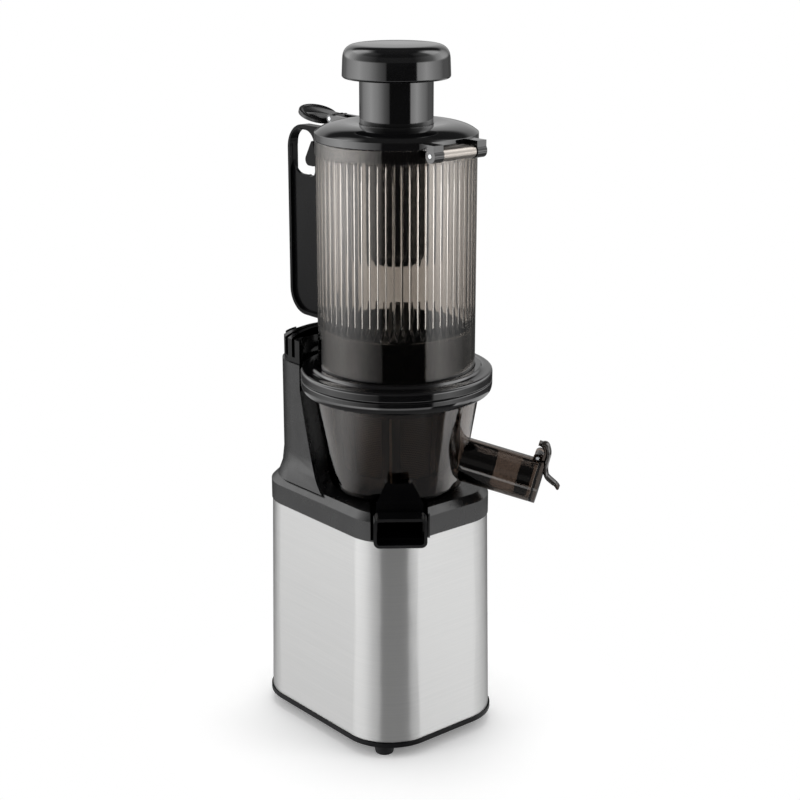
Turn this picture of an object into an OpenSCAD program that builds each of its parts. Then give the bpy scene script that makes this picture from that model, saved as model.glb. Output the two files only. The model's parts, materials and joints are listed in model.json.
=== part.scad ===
// Upright cold press juicer: motor base, juicing bowl, fluted hopper, hinged lid and pusher.
// The origin lies on the floor at the middle of the whole footprint, +Z is up, the hinge faces -Y.
// Lengths below are measured from the auger's axis, and placed() moves each piece to the origin.

/* [Base] */
// Height of the rubber feet
foot_h = 9; // [6:0.5:14]
// Diameter of each rubber foot
foot_d = 15; // [12:0.5:18]
// Half width of the steel sleeve at its top
base_half_x = 59.4; // [58:0.5:66]
// Distance from the auger axis to the sleeve's front at its top
base_front = 56.2; // [55:0.5:62]
// Distance from the auger axis to the sleeve's back at its top
base_back = 98.8; // [96:0.5:110]
// Corner radius of the sleeve at its top
base_corner = 33.7; // [28:0.5:36]
// How much the sleeve widens on each side towards its foot
base_flare = 3; // [1:0.5:5]
// Height of the steel sleeve
sleeve_h = 157.3; // [150:1:190]
// Thickness of the steel sheet
sleeve_t = 0.8; // [0.6:0.1:1.2]
// Height of the base plate's rim
rim_h = 3.5; // [3:0.5:6]
// How far the rim stands proud of the sleeve
rim_proud = 1.2; // [0.5:0.1:2]

/* [Top shell] */
// Height of the shell's upright band
band_h = 15; // [12:0.5:20]
// Height and depth of the shell's chamfer
chamfer = 5; // [3:0.5:7]
// Wall of the moulded shells
shell_t = 2.6; // [2:0.1:3.2]

/* [Tower] */
// Half width of the tower
tower_half_x = 53; // [50:0.5:54]
// Distance from the auger axis to the tower's back
tower_back = 89; // [87:0.5:92]
// Corner radius at the tower's back
tower_corner = 30; // [24:0.5:34]
// Height of the tower shell above the deck
tower_h = 91.3; // [88:0.5:93]
// Height of the finned cap on the tower
cap_h = 17.5; // [12:0.5:18]
// How far the foot of the tower flares out
cove = 5; // [3:0.5:6]

/* [Bowl] */
// Height of the bowl
bowl_h = 84.1; // [80:0.5:95]
// Radius of the bowl's wall carried down to its floor
bowl_low_r = 48.5; // [46:0.5:50]
// Radius of the bowl's wall at its rim
bowl_high_r = 62.6; // [60:0.5:63]
// Wall of the bowl
bowl_t = 2.5; // [2:0.1:3]
// Rounding of the bowl's foot
bowl_round = 9; // [6:0.5:12]
// How far the rim ring and the hopper's flange stand out from the bowl's wall
ring_w = 7.6; // [5.4:0.2:8]
// Height of the bowl's rim ring
rim_ring_h = 9.8; // [8:0.2:12]
// Outer diameter of the juice spout
spout_d = 32.7; // [28:0.5:34]
// Length of the spout from the auger's axis
spout_len = 106; // [98:1:115]
// Slope of the spout below level, in degrees
spout_tilt = 13.5; // [8:0.5:16]
// Turn of the spout and of the pulp chute away from the front, in degrees
side_turn = 38; // [34:1:42]
// Width of the pulp chute's mouth
chute_w = 38; // [32:0.5:42]
// Reach of the pulp chute from the auger's axis
chute_reach = 83; // [79:0.5:90]

/* [Hopper] */
// How far the hopper's tube stands inside the bowl's rim
hopper_step = 5.4; // [5:0.2:6.6]
// Wall of the hopper's tube
hopper_t = 2.6; // [2:0.1:3]
// Length of the hopper's tube
hopper_len = 171.6; // [160:1:185]
// Depth of each flute inside the tube
flute_depth = 0.8; // [0.4:0.1:1]
// Number of flutes round the tube
flute_count = 60; // [48:4:84]
// Height of the hopper's flange ring
flange_h = 7.3; // [6:0.1:9]
// Height of the dark skirt inside the hopper's foot
skirt_h = 38; // [30:1:42]

/* [Handle] */
// Distance from the hopper's tube to the handle's outer face
handle_out = 67; // [63:0.5:70]
// Width of the handle across its rims
handle_w = 7.6; // [7:0.2:10]
// Depth of the grip
grip_depth = 40; // [38:0.5:42]

/* [Lid and pusher] */
// How far the lid stands out from the hopper's tube
lid_out = 0.8; // [0.4:0.2:1.2]
// Height of the lid's upright band
lid_band_h = 5.4; // [5:0.1:7]
// Rise of the dome over the band
lid_rise = 6.3; // [5:0.1:9]
// Radius of the pusher's outer shaft
shaft_r = 26.1; // [25:0.1:28]
// Length of the pusher's outer shaft
shaft_len = 33.2; // [28:0.2:40]
// Radius of the pusher's core at its top
core_r = 22.6; // [21:0.1:22.8]
// Radius of the pusher's core at its foot
core_foot_r = 20.5; // [19:0.1:20.8]
// Length of the pusher's core below the lid
core_len = 99; // [85:0.5:99.5]
// Radius of the pusher's cap
cap_r = 38.2; // [35:0.2:42]
// Height of the pusher's cap
pusher_cap_h = 24; // [20:0.5:28]

/* [Drive] */
// Width across flats of the drive shaft's hexagon
hex_flats = 12; // [10:0.5:13]
// Module of the gears
gear_module = 1.25; // [1.1:0.05:1.3]
// Teeth of the motor pinion
pinion_teeth = 12; // [12:1:13]
// Teeth of the stage gear's wheel
wheel_teeth = 40; // [36:1:42]
// Teeth of the stage gear's small gear
small_teeth = 14; // [13:1:15]
// Teeth of the output gear
output_teeth = 50; // [48:1:52]
// Distance from the auger's axis to the motor's axis
motor_y = 50; // [49:0.5:53]
// Radius of the motor's stack
motor_r = 31; // [28:0.5:33]
// Height of the motor's stack
stack_h = 40; // [30:1:46]

/* [Auger] */
// Radius of the auger's flight at its foot
auger_r = 36; // [34:0.5:36.5]
// Radius of the auger's core
auger_core_r = 17; // [15:0.5:19]
// Height of the auger's juicing screw
screw_h = 60; // [50:1:62]
// Height of the cutting wing over the screw
wing_h = 68; // [55:1:72]

/* [Knob] */
// Radius of the control knob
knob_r = 13.5; // [11:0.5:16]
// How far the knob stands out from the sleeve
knob_out = 11; // [8:0.5:14]
// Height of the knob's centre over the floor
knob_z = 90.5; // [80:0.5:100]

/* [Hidden] */

$fn = 96;
// Overrun of a cut past the face that it opens
over = 1;
// Seam between pieces that sit face to face
seam = 0.1;
// Gap between pieces that move past each other
gap = 0.3;
// Running clearance of a shaft in its bearing, on the radius
run = 0.05;

// Radii and reaches that follow the bowl's rim
ring_r = bowl_high_r + ring_w;
hopper_r = bowl_high_r - hopper_step;
lid_r = hopper_r + lid_out;
handle_reach = hopper_r + handle_out;

// Base levels
rim_z = foot_h;
sleeve_z = rim_z + rim_h + seam;
sleeve_top = sleeve_z + sleeve_h;
band_z = sleeve_top + seam;
chamfer_z = band_z + band_h;
deck_z = chamfer_z + chamfer;
deck_t = 3.5;
lip_h = 8;
lip_t = 2;
shell_proud = 0.6;
corner_x = base_half_x - base_corner;
corner_front = -(base_front - base_corner);
corner_back = base_back - base_corner;

// Feet and their screws
foot_x = 45;
foot_front = -39.5;
foot_back = 76;
foot_sink = 1.5;
foot_taper_share = 0.9;
screw_r = 1.6;
screw_head_r = 3.2;
screw_head_h = 1.8;
foot_screw_len = 9;
foot_bore_depth = 3;

// Tower
tower_z = deck_z + seam;
tower_top = tower_z + tower_h;
tower_front_gap = 1.3;
tower_front_in = 11.2;
tower_front_rise = 71.9;
tower_front_r = ring_r + tower_front_gap;
tower_front_low_r = tower_front_r - tower_front_in;
tower_front_z = tower_z + tower_front_rise;
cove_h = 22;
cove_mid_share = 0.45;
tower_front_y = 12;
cap_inset = 1.5;
cap_z = tower_top + seam;
groove_w = 2.6;
groove_pitch = 6.5;
groove_first = 4;
cap_floor = 4;

// Bowl
bowl_z = deck_z + gap;
bowl_top = bowl_z + bowl_h;
wall_slope = (bowl_high_r - bowl_low_r) / bowl_h;
hub_r = 9.6;
hub_bore_r = 8;
hub_h = 4;
spout_rise = 35.7;
spout_z = bowl_z + spout_rise;
spout_r = spout_d / 2;
spout_t = 2.4;
spout_turn = -90 + side_turn;
chute_turn = -90 - side_turn;
spout_root_r = bowl_low_r + 1.5 * over;
collar_w = 2.2;

// Pulp chute
chute_inner_w = 20;
chute_start = 17;
chute_floor_z = deck_z - 17;
chute_mouth_z = deck_z - 18;
chute_mouth_h = 22;
chute_mouth_len = 14;
chute_t = 2.2;
cover_top_w = 17.5;
cover_top_z = bowl_z + 20.5;
cover_top_reach = 49;
cover_side_reach = 66;
cover_side_z = bowl_z + 9;
slot_gap = 1.8;
pulp_hole_r = 23;
pulp_hole_len = 9;
pulp_hole_w = 12;
trough_t = 1.2;

// Flange and hopper
flange_z = bowl_top + gap;
flange_top = flange_z + flange_h;
collar_out = 3.8;
collar_r = hopper_r + collar_out;
collar_rise = 2.4;
collar_run = 4;
hopper_z = flange_z + 1.8;
hopper_top = hopper_z + hopper_len;
hopper_in_r = hopper_r - hopper_t;
hopper_band_h = 10;
hopper_band_out = 0.6;
flute_top = hopper_top - hopper_band_h;
skirt_top = flange_z + skirt_h;
skirt_t = 2.2;
skirt_out_r = hopper_in_r - flute_depth - gap;
skirt_in_r = skirt_out_r - skirt_t;
plain_top = skirt_top + 1.5;
seal_w = 2.4;
seal_h = 1.4;

// Lid and hinge
lid_z = hopper_top + 0.4;
lid_band_top = lid_z + lid_band_h;
lid_top = lid_band_top + lid_rise;
crest_r = 36;
lid_t = 2.6;
lid_plug_h = 5;
lid_plug_t = 2;
seat_z = lid_top - 3;
seat_web = 3.4;
hinge_out = 6.3;
hinge_y = -hopper_r - hinge_out;
hinge_z = hopper_top - 2.6;
hinge_pin_r = 1.6;
barrel_r = 4.3;
barrel_half = 15;
knuckle_r = 4.9;
knuckle_w = 8.5;
arm_t = 4.2;

// Pusher
shaft_z = seat_z + gap;
shaft_top = shaft_z + shaft_len;
core_z = shaft_z - core_len;
core_round = 12;
pusher_t = 2.4;
cap_round = 9.5;
cap_skirt = 10;
cap_t = 2.6;
cap_draft = 0.5;
cap_boss = 5;

// Handle, in its own upright plane of distance and height
handle_z0 = cap_z + cap_h + 2.2;
handle_z1 = hopper_top - 0.6;
mount_y = hopper_r + hopper_band_out + gap;
mount_t = 2.4;
mount_half = 9;
handle_y0 = mount_y + mount_t + seam;
handle_round = 19;
rim_w = 2.8;
web_sink = 2.6;
pad_t = 2.4;
screw_boss_r = 3;
gap_rim_share = 5.1;
hand_gap_z0 = handle_z0 + 20;
hand_gap_z1 = handle_z1 - 24;
hand_gap_y1 = handle_reach - grip_depth;
hand_round = 8;
hole_y0 = handle_reach - 29.8;
hole_y1 = handle_reach - rim_w - 0.4;
hole_z0 = handle_z1 - 38;
hole_z1 = handle_z1 - 4.3;
hole_round = 11;
hole_back = 4;
hole_back_round = 5;
hook_r = 4.4;
hook_tip_r = 1.3;
hook_y = hole_y0 + 3.4;
hook_z = hole_z0 + 12.4;

// Latch lever on the lid
latch_out = 9.8;
latch_y = hopper_r + latch_out;
latch_z = lid_band_top + 2.2;
latch_pin_r = 1.4;
latch_hub_r = 3.4;
latch_half = 4.6;
lug_t = 3;
paddle_r = 14.5;
paddle_in = 33.7;
paddle_y = handle_reach - paddle_in;
paddle_lift = 0.4;
paddle_t = 2.6;
paddle_tilt = 18.5;
hook_drop = 13;
hook_t = 2.6;
toe = 1.4;
neck_len = 5;
neck_share = 0.7;
slot_room = 1.4;

// Drive train
pressure = 25;
backlash = 0.24;
addendum_share = 0.96;
dedendum_share = 1.25;
stage_in = gear_module * (pinion_teeth + wheel_teeth) / 2;
stage_out = gear_module * (small_teeth + output_teeth) / 2;
stage_y = (stage_out * stage_out - stage_in * stage_in + motor_y * motor_y) / (2 * motor_y);
stage_x = sqrt(stage_out * stage_out - stage_y * stage_y);
to_stage = atan2(stage_y, stage_x);
to_motor = atan2(motor_y - stage_y, -stage_x);
case_top = chute_floor_z - 4.4;
cover_t = 3;
cover_z = case_top - cover_t;
case_t = 2.4;
case_h = 28;
case_z = cover_z - case_h;
wheel_z = case_z + case_t + 2;
wheel_h = 8;
small_z = wheel_z + wheel_h;
small_h = 13;
output_z = small_z + 1.5;
output_h = 10;
case_out_r = gear_module * (output_teeth / 2 + 1) + 6.5;
case_stage_r = gear_module * (wheel_teeth / 2 + 1) + 3.6;
case_motor_r = 17;
shaft_body_r = 7.5;
shaft_tail_r = 5;
hex_len = 30;
hex_z = bowl_z + hub_h;
bearing_r = 12;
bearing_h = 4;
seal_lip_r = 12.8;
seal_ring_h = 5;
boss_r = 16;
pin_r = 3;
motor_shaft_r = 4;
motor_tip_r = 2.5;
bell_t = 12;
bell_gap = 14;
upper_bell_z = case_z - seam - bell_t;
stack_z = upper_bell_z - bell_gap - stack_h;
lower_bell_z = stack_z - bell_gap - bell_t;
rotor_r = 16.5;
air_gap = 0.6;
stack_t = 6;
coil_h = 9;
coil_r = 5;
coil_count = 6;
fan_r = 29;
fan_h = 9;
fan_blades = 9;
fan_t = 1.2;
fan_tilt = 35;
fan_hub_r = 9;
tie_r = 1.8;
tie_place_r = 27.5;
case_screw_r = 1.8;

// Auger and strainer
auger_z = bowl_z + bowl_t + 2;
auger_foot_h = 7;
auger_gear_teeth = 18;
bowl_pinion_teeth = 12;
ring_teeth = auger_gear_teeth + 2 * bowl_pinion_teeth;
ring_turn = 90 + side_turn;
bowl_module = 1.4;
bowl_gear_h = 5;
pinion_place = bowl_module * (auger_gear_teeth + bowl_pinion_teeth) / 2;
socket_r = 10;
socket_h = 36;
hex_gap = 0.25;
blade_w = 5;
screw_turns = 1.1;
screw_grow_share = 1.13;
wing_turn = 290;
wing_end_share = 0.28;
wing_tip_r = 9;
strain_z = auger_z + bowl_gear_h + 1.6;
strain_h = 66;
strain_low_r = auger_r + 1.2;
strain_high_r = auger_r * screw_grow_share + 1.4;
screen_t = 0.8;
frame_t = 1.8;
frame_band = 7;
frame_ribs = 8;
rib_w = 4;
frame_floor_t = 1.8;
wiper_z = auger_z - 0.4;
wiper_ring_h = 3.4;
wiper_in_gap = 0.7;
wiper_t = 2.4;
wiper_arms = 4;
wiper_arm_w = 13;
wiper_band = 5;
wiper_top = strain_z + strain_h - 6;
blade_t = 1.6;
blade_out = 2.2;
pin_small_r = 2.2;

// Juice cap, in the spout's own frame: along its axis, across it, and up from it
cap_gap = 0.3;
cap_disc_t = 3;
cap_seal_r = 2.6;
cap_pin_u = spout_len - 1.4;
cap_pin_w = 19.6;
cap_pin_r = 1.3;
ear_t = 2.4;
ear_half = 6.6;
ear_r = 3.4;
lever_half = 3.4;
lever_t = 2.2;
lever_hub_r = 2.9;
disc_reach = spout_len + cap_gap + seal_h + cap_disc_t;

tail_u = spout_len + cap_gap + seal_h + 2.5 * ear_half;
reach_right = disc_reach * cos(spout_tilt) * cos(spout_turn)
  + spout_r * sqrt(1 - pow(cos(spout_tilt) * cos(spout_turn), 2));
reach_front = (tail_u * cos(spout_tilt) + lever_t / 2) * abs(sin(spout_turn))
  + lever_half * cos(spout_turn);

// Knob
knob_y = -12;
knob_gap = 0.5;
knob_grips = 18;
grip_r = 0.9;
spindle_r = 3;
spindle_len = 16;
switch_w = 24;
switch_t = 12;
board_w = 60;
board_h = 44;
board_t = 1.6;
relay_h = 12;

// Safety switch and cord gland
button_r = 3;
button_z = tower_front_z + 6;
button_len = 7.2;
button_travel = 1.8;
button_proud = 0.8;
switch_body_w = 12;
switch_body_h = 20;
gland_z = 32;
gland_r = 9;
gland_flange_r = 12;
gland_bore_r = 4;
gland_out = 5;
gland_in = 8;

// Points along an arc
function arc(cx, cy, r, a0, a1, steps = 8) =
  [for (i = [0:steps]) let(a = a0 + (a1 - a0) * i / steps) [cx + r * cos(a), cy + r * sin(a)]];
// Involute angle at radius p for a base radius rb, in degrees
function involute(p, rb) =
  p <= rb ? 0 : sqrt(p * p / (rb * rb) - 1) * 180 / PI - acos(rb / p);
// Outline of a spur gear: every tooth has involute flanks from root to tip
function gear_points(teeth, unit, tip, root, play, steps = 4) =
  let(rp = unit * teeth / 2, rb = rp * cos(pressure), ra = rp + unit * tip, rr = rp - unit * root,
      r0 = max(rb, rr), half = 90 / teeth - play * 90 / (PI * rp) + involute(rp, rb),
      flank = concat([rr], [for (k = [0:steps]) r0 + (ra - r0) * k / steps]))
  [for (i = [0:teeth - 1], side = [-1, 1], k = [0:len(flank) - 1])
    let(p = side < 0 ? flank[k] : flank[len(flank) - 1 - k],
        a = 360 * i / teeth + side * (half - involute(p, rb)))
    [p * cos(a), p * sin(a)]];
// Point on a cubic curve
function cubic(p, t) = p[0] * pow(1 - t, 3) + p[1] * 3 * t * pow(1 - t, 2)
  + p[2] * 3 * t * t * (1 - t) + p[3] * pow(t, 3);
// Outline of a strip of thickness t along a cubic curve
function strip(p, t, steps = 14) =
  let(mid = [for (i = [0:steps]) cubic(p, i / steps)],
      side = [for (i = [0:steps]) let(d = mid[min(i + 1, steps)] - mid[max(i - 1, 0)],
        n = [-d[1], d[0]] / norm(d)) n * t / 2])
  concat([for (i = [0:steps]) mid[i] + side[i]], [for (i = [steps:-1:0]) mid[i] - side[i]]);
// Radius of the bowl's outer wall at a height
function bowl_wall(z) = bowl_low_r + (z - bowl_z) * wall_slope;
// Radius of the strainer's inner wall at a height
function strain_wall(z) = strain_low_r + (z - strain_z) * (strain_high_r - strain_low_r) / strain_h;
// Dome of the lid: height over the band at a share of the way in to the crest
function dome(t) = pow(1 - pow(1 - t, 2), 0.75);

// Moves a piece from the auger's axis to the middle of the whole footprint
module placed() { translate([-(reach_right - ring_r) / 2, -(handle_reach - reach_front) / 2, 0]) children(); }

// Block on the base's plan, its outline grown by one amount at the foot and another at the top
module base_block(low, high, z0, z1) {
  for (x = [-corner_x, corner_x], y = [corner_front, corner_back])
    translate([x, y, z0]) cylinder(h = z1 - z0, r1 = base_corner + low, r2 = base_corner + high);
  translate([0, corner_back, 0]) rotate([90, 0, 0]) linear_extrude(corner_back - corner_front)
    polygon([[-base_half_x - low, z0], [base_half_x + low, z0], [base_half_x + high, z1],
      [-base_half_x - high, z1]]);
  translate([-corner_x, 0, 0]) rotate([90, 0, 90]) linear_extrude(2 * corner_x)
    polygon([[-base_front - low, z0], [base_back + low, z0], [base_back + high, z1],
      [-base_front - high, z1]]);
}

// Rectangle with round corners, from one corner to the other
module round_rect(x0, y0, x1, y1, r) {
  translate([x0 + r, y0]) square([x1 - x0 - 2 * r, y1 - y0]);
  translate([x0, y0 + r]) square([x1 - x0, y1 - y0 - 2 * r]);
  for (x = [x0 + r, x1 - r], y = [y0 + r, y1 - r]) translate([x, y]) circle(r);
}

// Outline of the tower, grown on all sides
module tower_plan(grow) {
  y0 = tower_front_y;
  translate([-tower_half_x - grow, y0])
    square([2 * (tower_half_x + grow), tower_back - tower_corner - y0]);
  translate([-tower_half_x + tower_corner, y0])
    square([2 * (tower_half_x - tower_corner), tower_back + grow - y0]);
  for (s = [-1, 1]) translate([s * (tower_half_x - tower_corner), tower_back - tower_corner])
    circle(tower_corner + grow);
}

// Space in front of the tower that the bowl and its ring stand in
module tower_front(grow) {
  translate([0, 0, tower_z - over]) cylinder(h = over + seam, r = tower_front_low_r + grow);
  translate([0, 0, tower_z]) cylinder(h = tower_front_z - tower_z, r1 = tower_front_low_r + grow,
    r2 = tower_front_r + grow);
  translate([0, 0, tower_front_z - seam])
    cylinder(h = cap_z + cap_h + over - tower_front_z, r = tower_front_r + grow);
}

module at_spout() {
  translate([0, 0, spout_z]) rotate([0, 0, spout_turn]) rotate([0, spout_tilt, 0]) children();
}

module at_chute() { rotate([0, 0, chute_turn]) children(); }

module at_feet() {
  for (x = [-foot_x, foot_x], y = [foot_front, foot_back]) translate([x, y, 0]) children();
}

module screw(len, r, head_r, head_h) {
  cylinder(h = len, r = r);
  translate([0, 0, -head_h]) cylinder(h = head_h, r = head_r);
}

module base_plate() {
  placed() color("#1c1c1e") difference() {
    union() {
      base_block(base_flare + rim_proud, base_flare + rim_proud, rim_z, rim_z + rim_h);
      difference() {
        base_block(base_flare - sleeve_t - gap, base_flare - sleeve_t - gap - lip_h * base_flare / sleeve_h,
          rim_z + rim_h - seam, rim_z + rim_h + lip_h);
        base_block(base_flare - sleeve_t - gap - lip_t, base_flare - sleeve_t - gap - lip_t,
          rim_z + rim_h - seam - over, rim_z + rim_h + lip_h + over);
      }
    }
    at_feet() translate([0, 0, rim_z - over]) cylinder(h = foot_sink + over, r = foot_d / 2 + seam);
    at_feet() translate([0, 0, rim_z - over]) cylinder(h = rim_h + 2 * over, r = screw_r + seam);
    for (i = [-3:3]) translate([i * foot_h - rim_proud, motor_y - motor_r / 2, rim_z - over])
      cube([2 * rim_proud, motor_r, rim_h + 2 * over]);
  }
}

module rubber_feet() {
  placed() color("#161616") at_feet() difference() {
    union() {
      cylinder(h = foot_h / 2, r1 = foot_d / 2 * foot_taper_share, r2 = foot_d / 2);
      translate([0, 0, foot_h / 2]) cylinder(h = foot_h / 2 + foot_sink, r = foot_d / 2);
    }
    translate([0, 0, -over]) cylinder(h = foot_bore_depth + over, r = screw_head_r + gap);
    translate([0, 0, -over]) cylinder(h = foot_h + foot_sink + 2 * over, r = screw_r + seam);
  }
}

module foot_screws() {
  placed() color("#b9bcc0") at_feet() translate([0, 0, foot_bore_depth])
    screw(foot_h + rim_h, screw_r, screw_head_r, screw_head_h);
}

module steel_sleeve() {
  placed() color("#c4c6c8") difference() {
    base_block(base_flare, 0, sleeve_z, sleeve_top);
    base_block(base_flare * (1 + over / sleeve_h) - sleeve_t, -base_flare * over / sleeve_h - sleeve_t,
      sleeve_z - over, sleeve_top + over);
    translate([base_half_x - base_corner / 2, knob_y, knob_z]) rotate([0, 90, 0])
      cylinder(h = base_corner, r = spindle_r + gap);
    translate([0, base_back - over, gland_z]) rotate([-90, 0, 0])
      translate([0, 0, -base_corner / 2]) cylinder(h = base_corner, r = gland_r + seam);
  }
}

module top_shell() {
  skirt = -sleeve_t - gap;
  placed() color("#242426") difference() {
    union() {
      difference() {
        union() {
          base_block(shell_proud, shell_proud, band_z, chamfer_z);
          base_block(shell_proud, shell_proud - chamfer, chamfer_z, deck_z);
          base_block(skirt, skirt, band_z - lip_h, band_z + seam);
        }
        base_block(skirt - lip_t, skirt - lip_t, band_z - lip_h - over, band_z + seam);
        base_block(shell_proud - shell_t, shell_proud - shell_t, band_z, chamfer_z - over);
        base_block(shell_proud - shell_t, shell_proud - shell_t - chamfer, chamfer_z - over,
          deck_z - deck_t);
      }
      at_chute() translate([chute_start - slot_gap - trough_t, -chute_w / 2 - slot_gap - trough_t,
        chute_floor_z - slot_gap - trough_t])
        cube([base_corner + corner_x - chute_start + slot_gap, chute_w + 2 * (slot_gap + trough_t),
          deck_z - deck_t - chute_floor_z + slot_gap + trough_t + seam]);
      translate([0, 0, case_top + 2 * seam]) cylinder(h = deck_z - case_top - deck_t, r = boss_r);
    }
    at_chute() translate([chute_start - slot_gap, -chute_w / 2 - slot_gap, chute_floor_z - slot_gap])
      cube([chute_reach, chute_w + 2 * slot_gap, deck_z]);
    translate([0, 0, case_top]) cylinder(h = deck_z, r = shaft_body_r + gap);
    translate([0, 0, deck_z - seal_ring_h]) cylinder(h = deck_z, r = seal_lip_r);
    at_spout() rotate([0, 90, 0]) cylinder(h = spout_len, r = spout_r + 2 * gap);
    for (s = [-1, 1]) translate([s * boss_r * 2, motor_y + boss_r, deck_z - deck_t - over])
      cylinder(h = deck_t + 2 * over, r = case_screw_r + seam);
    translate([0, tower_back - boss_r, deck_z - deck_t - over])
      cylinder(h = deck_t + 2 * over, r = boss_r / 2);
  }
}

module tower_shell() {
  mid = cove * (1 - cove_mid_share) / 2;
  z1 = tower_z + cove_h * cove_mid_share;
  z2 = tower_z + cove_h;
  placed() color("#2a2a2c") difference() {
    union() {
      translate([0, 0, tower_z]) linear_extrude(tower_h) tower_plan(0);
      cove_step(cove, mid, tower_z, z1);
      cove_step(mid, 0, z1, z2);
    }
    tower_front(0);
    difference() {
      translate([0, 0, tower_z - over]) linear_extrude(tower_h + over - shell_t) tower_plan(-shell_t);
      tower_front(shell_t);
    }
    translate([0, tower_front_r - over, button_z]) rotate([-90, 0, 0])
      cylinder(h = shell_t + 2 * over, r = button_r + gap);
  }
}

// One sloping step of the cove round the tower's foot
module cove_step(low, high, z0, z1) {
  y0 = tower_front_y;
  back = tower_back - tower_corner;
  side = tower_half_x - tower_corner;
  for (s = [-1, 1]) translate([s * side, back, z0])
    cylinder(h = z1 - z0, r1 = tower_corner + low, r2 = tower_corner + high);
  translate([0, back, 0]) rotate([90, 0, 0]) linear_extrude(back - y0)
    polygon([[-tower_half_x - low, z0], [tower_half_x + low, z0], [tower_half_x + high, z1],
      [-tower_half_x - high, z1]]);
  translate([-side, 0, 0]) rotate([90, 0, 90]) linear_extrude(2 * side)
    polygon([[y0, z0], [tower_back + low, z0], [tower_back + high, z1], [y0, z1]]);
}

module tower_cap() {
  placed() color("#101012") difference() {
    translate([0, 0, cap_z]) linear_extrude(cap_h) tower_plan(-cap_inset);
    tower_front(0);
    for (i = [0:2]) groove(tower_front_r + groove_first + i * groove_pitch);
  }
}

// Groove round the auger's axis that leaves a fin on each side
module groove(r) {
  translate([0, 0, cap_z + cap_floor]) difference() {
    cylinder(h = cap_h, r = r + groove_w);
    translate([0, 0, -over]) cylinder(h = cap_h + 2 * over, r = r);
  }
}

// Plan of the gearbox: one circle round each shaft
module case_plan(grow) {
  circle(case_out_r + grow);
  translate([stage_x, stage_y]) circle(case_stage_r + grow);
  translate([0, motor_y]) circle(case_motor_r + grow);
}

module case_screw_places() {
  for (a = [190, 262, 334]) rotate([0, 0, a]) translate([case_out_r - case_t / 2, 0]) children();
  translate([stage_x, stage_y]) rotate([0, 0, to_stage]) translate([case_stage_r + case_t / 2, 0])
    children();
}

module gearbox_case() {
  placed() color("#8d9196") difference() {
    union() {
      translate([0, 0, case_z]) linear_extrude(case_h) case_plan(0);
      translate([0, 0, case_z]) linear_extrude(case_h) case_screw_places() circle(2 * case_screw_r);
    }
    translate([0, 0, case_z + case_t]) linear_extrude(case_h) difference() {
      case_plan(-case_t);
      case_screw_places() circle(2 * case_screw_r + gap);
    }
    translate([0, 0, case_z - over]) linear_extrude(case_h + 2 * over) case_screw_places()
      circle(case_screw_r - seam);
    translate([0, 0, case_z - over]) cylinder(h = case_t + 2 * over, r = shaft_tail_r + run);
    translate([stage_x, stage_y, case_z - over]) cylinder(h = case_t + 2 * over, r = pin_r);
    translate([0, motor_y, case_z - over]) cylinder(h = case_t + 2 * over, r = motor_shaft_r + gap);
  }
}

module gearbox_cover() {
  placed() color("#9a9ea3") translate([0, 0, cover_z + seam]) linear_extrude(cover_t) difference() {
    union() {
      case_plan(0);
      case_screw_places() circle(2 * case_screw_r);
    }
    circle(bearing_r);
    translate([stage_x, stage_y]) circle(pin_r);
    case_screw_places() circle(case_screw_r + seam);
  }
}

module case_screws() {
  placed() color("#c9ccd0") case_screw_places()
    translate([0, 0, cover_z + seam + cover_t]) mirror([0, 0, 1])
      cylinder(h = case_h / 2, r = case_screw_r - 2 * seam);
}

module motor_stator() {
  placed() color("#70757b") translate([0, motor_y, stack_z]) difference() {
    cylinder(h = stack_h, r = motor_r);
    translate([0, 0, -over]) cylinder(h = stack_h + 2 * over, r = rotor_r + air_gap);
    for (i = [0:coil_count - 1]) rotate([0, 0, 360 * (i + 0.5) / coil_count])
      translate([motor_r - stack_t - coil_r, 0, -over]) cylinder(h = stack_h + 2 * over, r = coil_r / 2);
    tie_places() translate([0, 0, -over]) cylinder(h = stack_h + 2 * over, r = tie_r + seam);
  }
}

module tie_places() {
  for (i = [0:3]) rotate([0, 0, 45 + 90 * i]) translate([tie_place_r, 0, 0]) children();
}

module motor_coils() {
  ring_r = rotor_r + air_gap + coil_r + gap;
  placed() color("#b4622d") translate([0, motor_y, 0]) {
    for (z = [stack_z - coil_h / 2 - seam, stack_z + stack_h + coil_h / 2 + seam])
      translate([0, 0, z]) difference() {
        cylinder(h = coil_h, r = ring_r + coil_r / 2, center = true);
        cylinder(h = coil_h + over, r = ring_r - coil_r / 2, center = true);
      }
    for (i = [0:coil_count - 1]) rotate([0, 0, 360 * (i + 0.5) / coil_count])
      translate([motor_r - stack_t - coil_r, 0, stack_z - 2 * seam])
        cylinder(h = stack_h + 4 * seam, r = coil_r / 2 - seam);
  }
}

module bell(z, bore) {
  placed() color("#a9adb2") translate([0, motor_y, z]) difference() {
    cylinder(h = bell_t, r = motor_r);
    translate([0, 0, -over]) cylinder(h = bell_t + 2 * over, r = bore);
    for (i = [0:3]) rotate([0, 0, 90 * i]) translate([rotor_r + coil_r / 2, 0, -over])
      cylinder(h = bell_t + 2 * over, r = coil_r);
    tie_places() translate([0, 0, -over]) cylinder(h = bell_t + 2 * over, r = tie_r + seam);
  }
}

module motor_upper_bell() { bell(upper_bell_z, motor_shaft_r + run); }

module motor_lower_bell() { bell(lower_bell_z, motor_shaft_r + run); }

module motor_tie_screws() {
  len = upper_bell_z + bell_t - lower_bell_z;
  placed() color("#cfd2d5") translate([0, motor_y, lower_bell_z]) tie_places()
    screw(len, tie_r, 2 * tie_r, tie_r);
}

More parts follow.
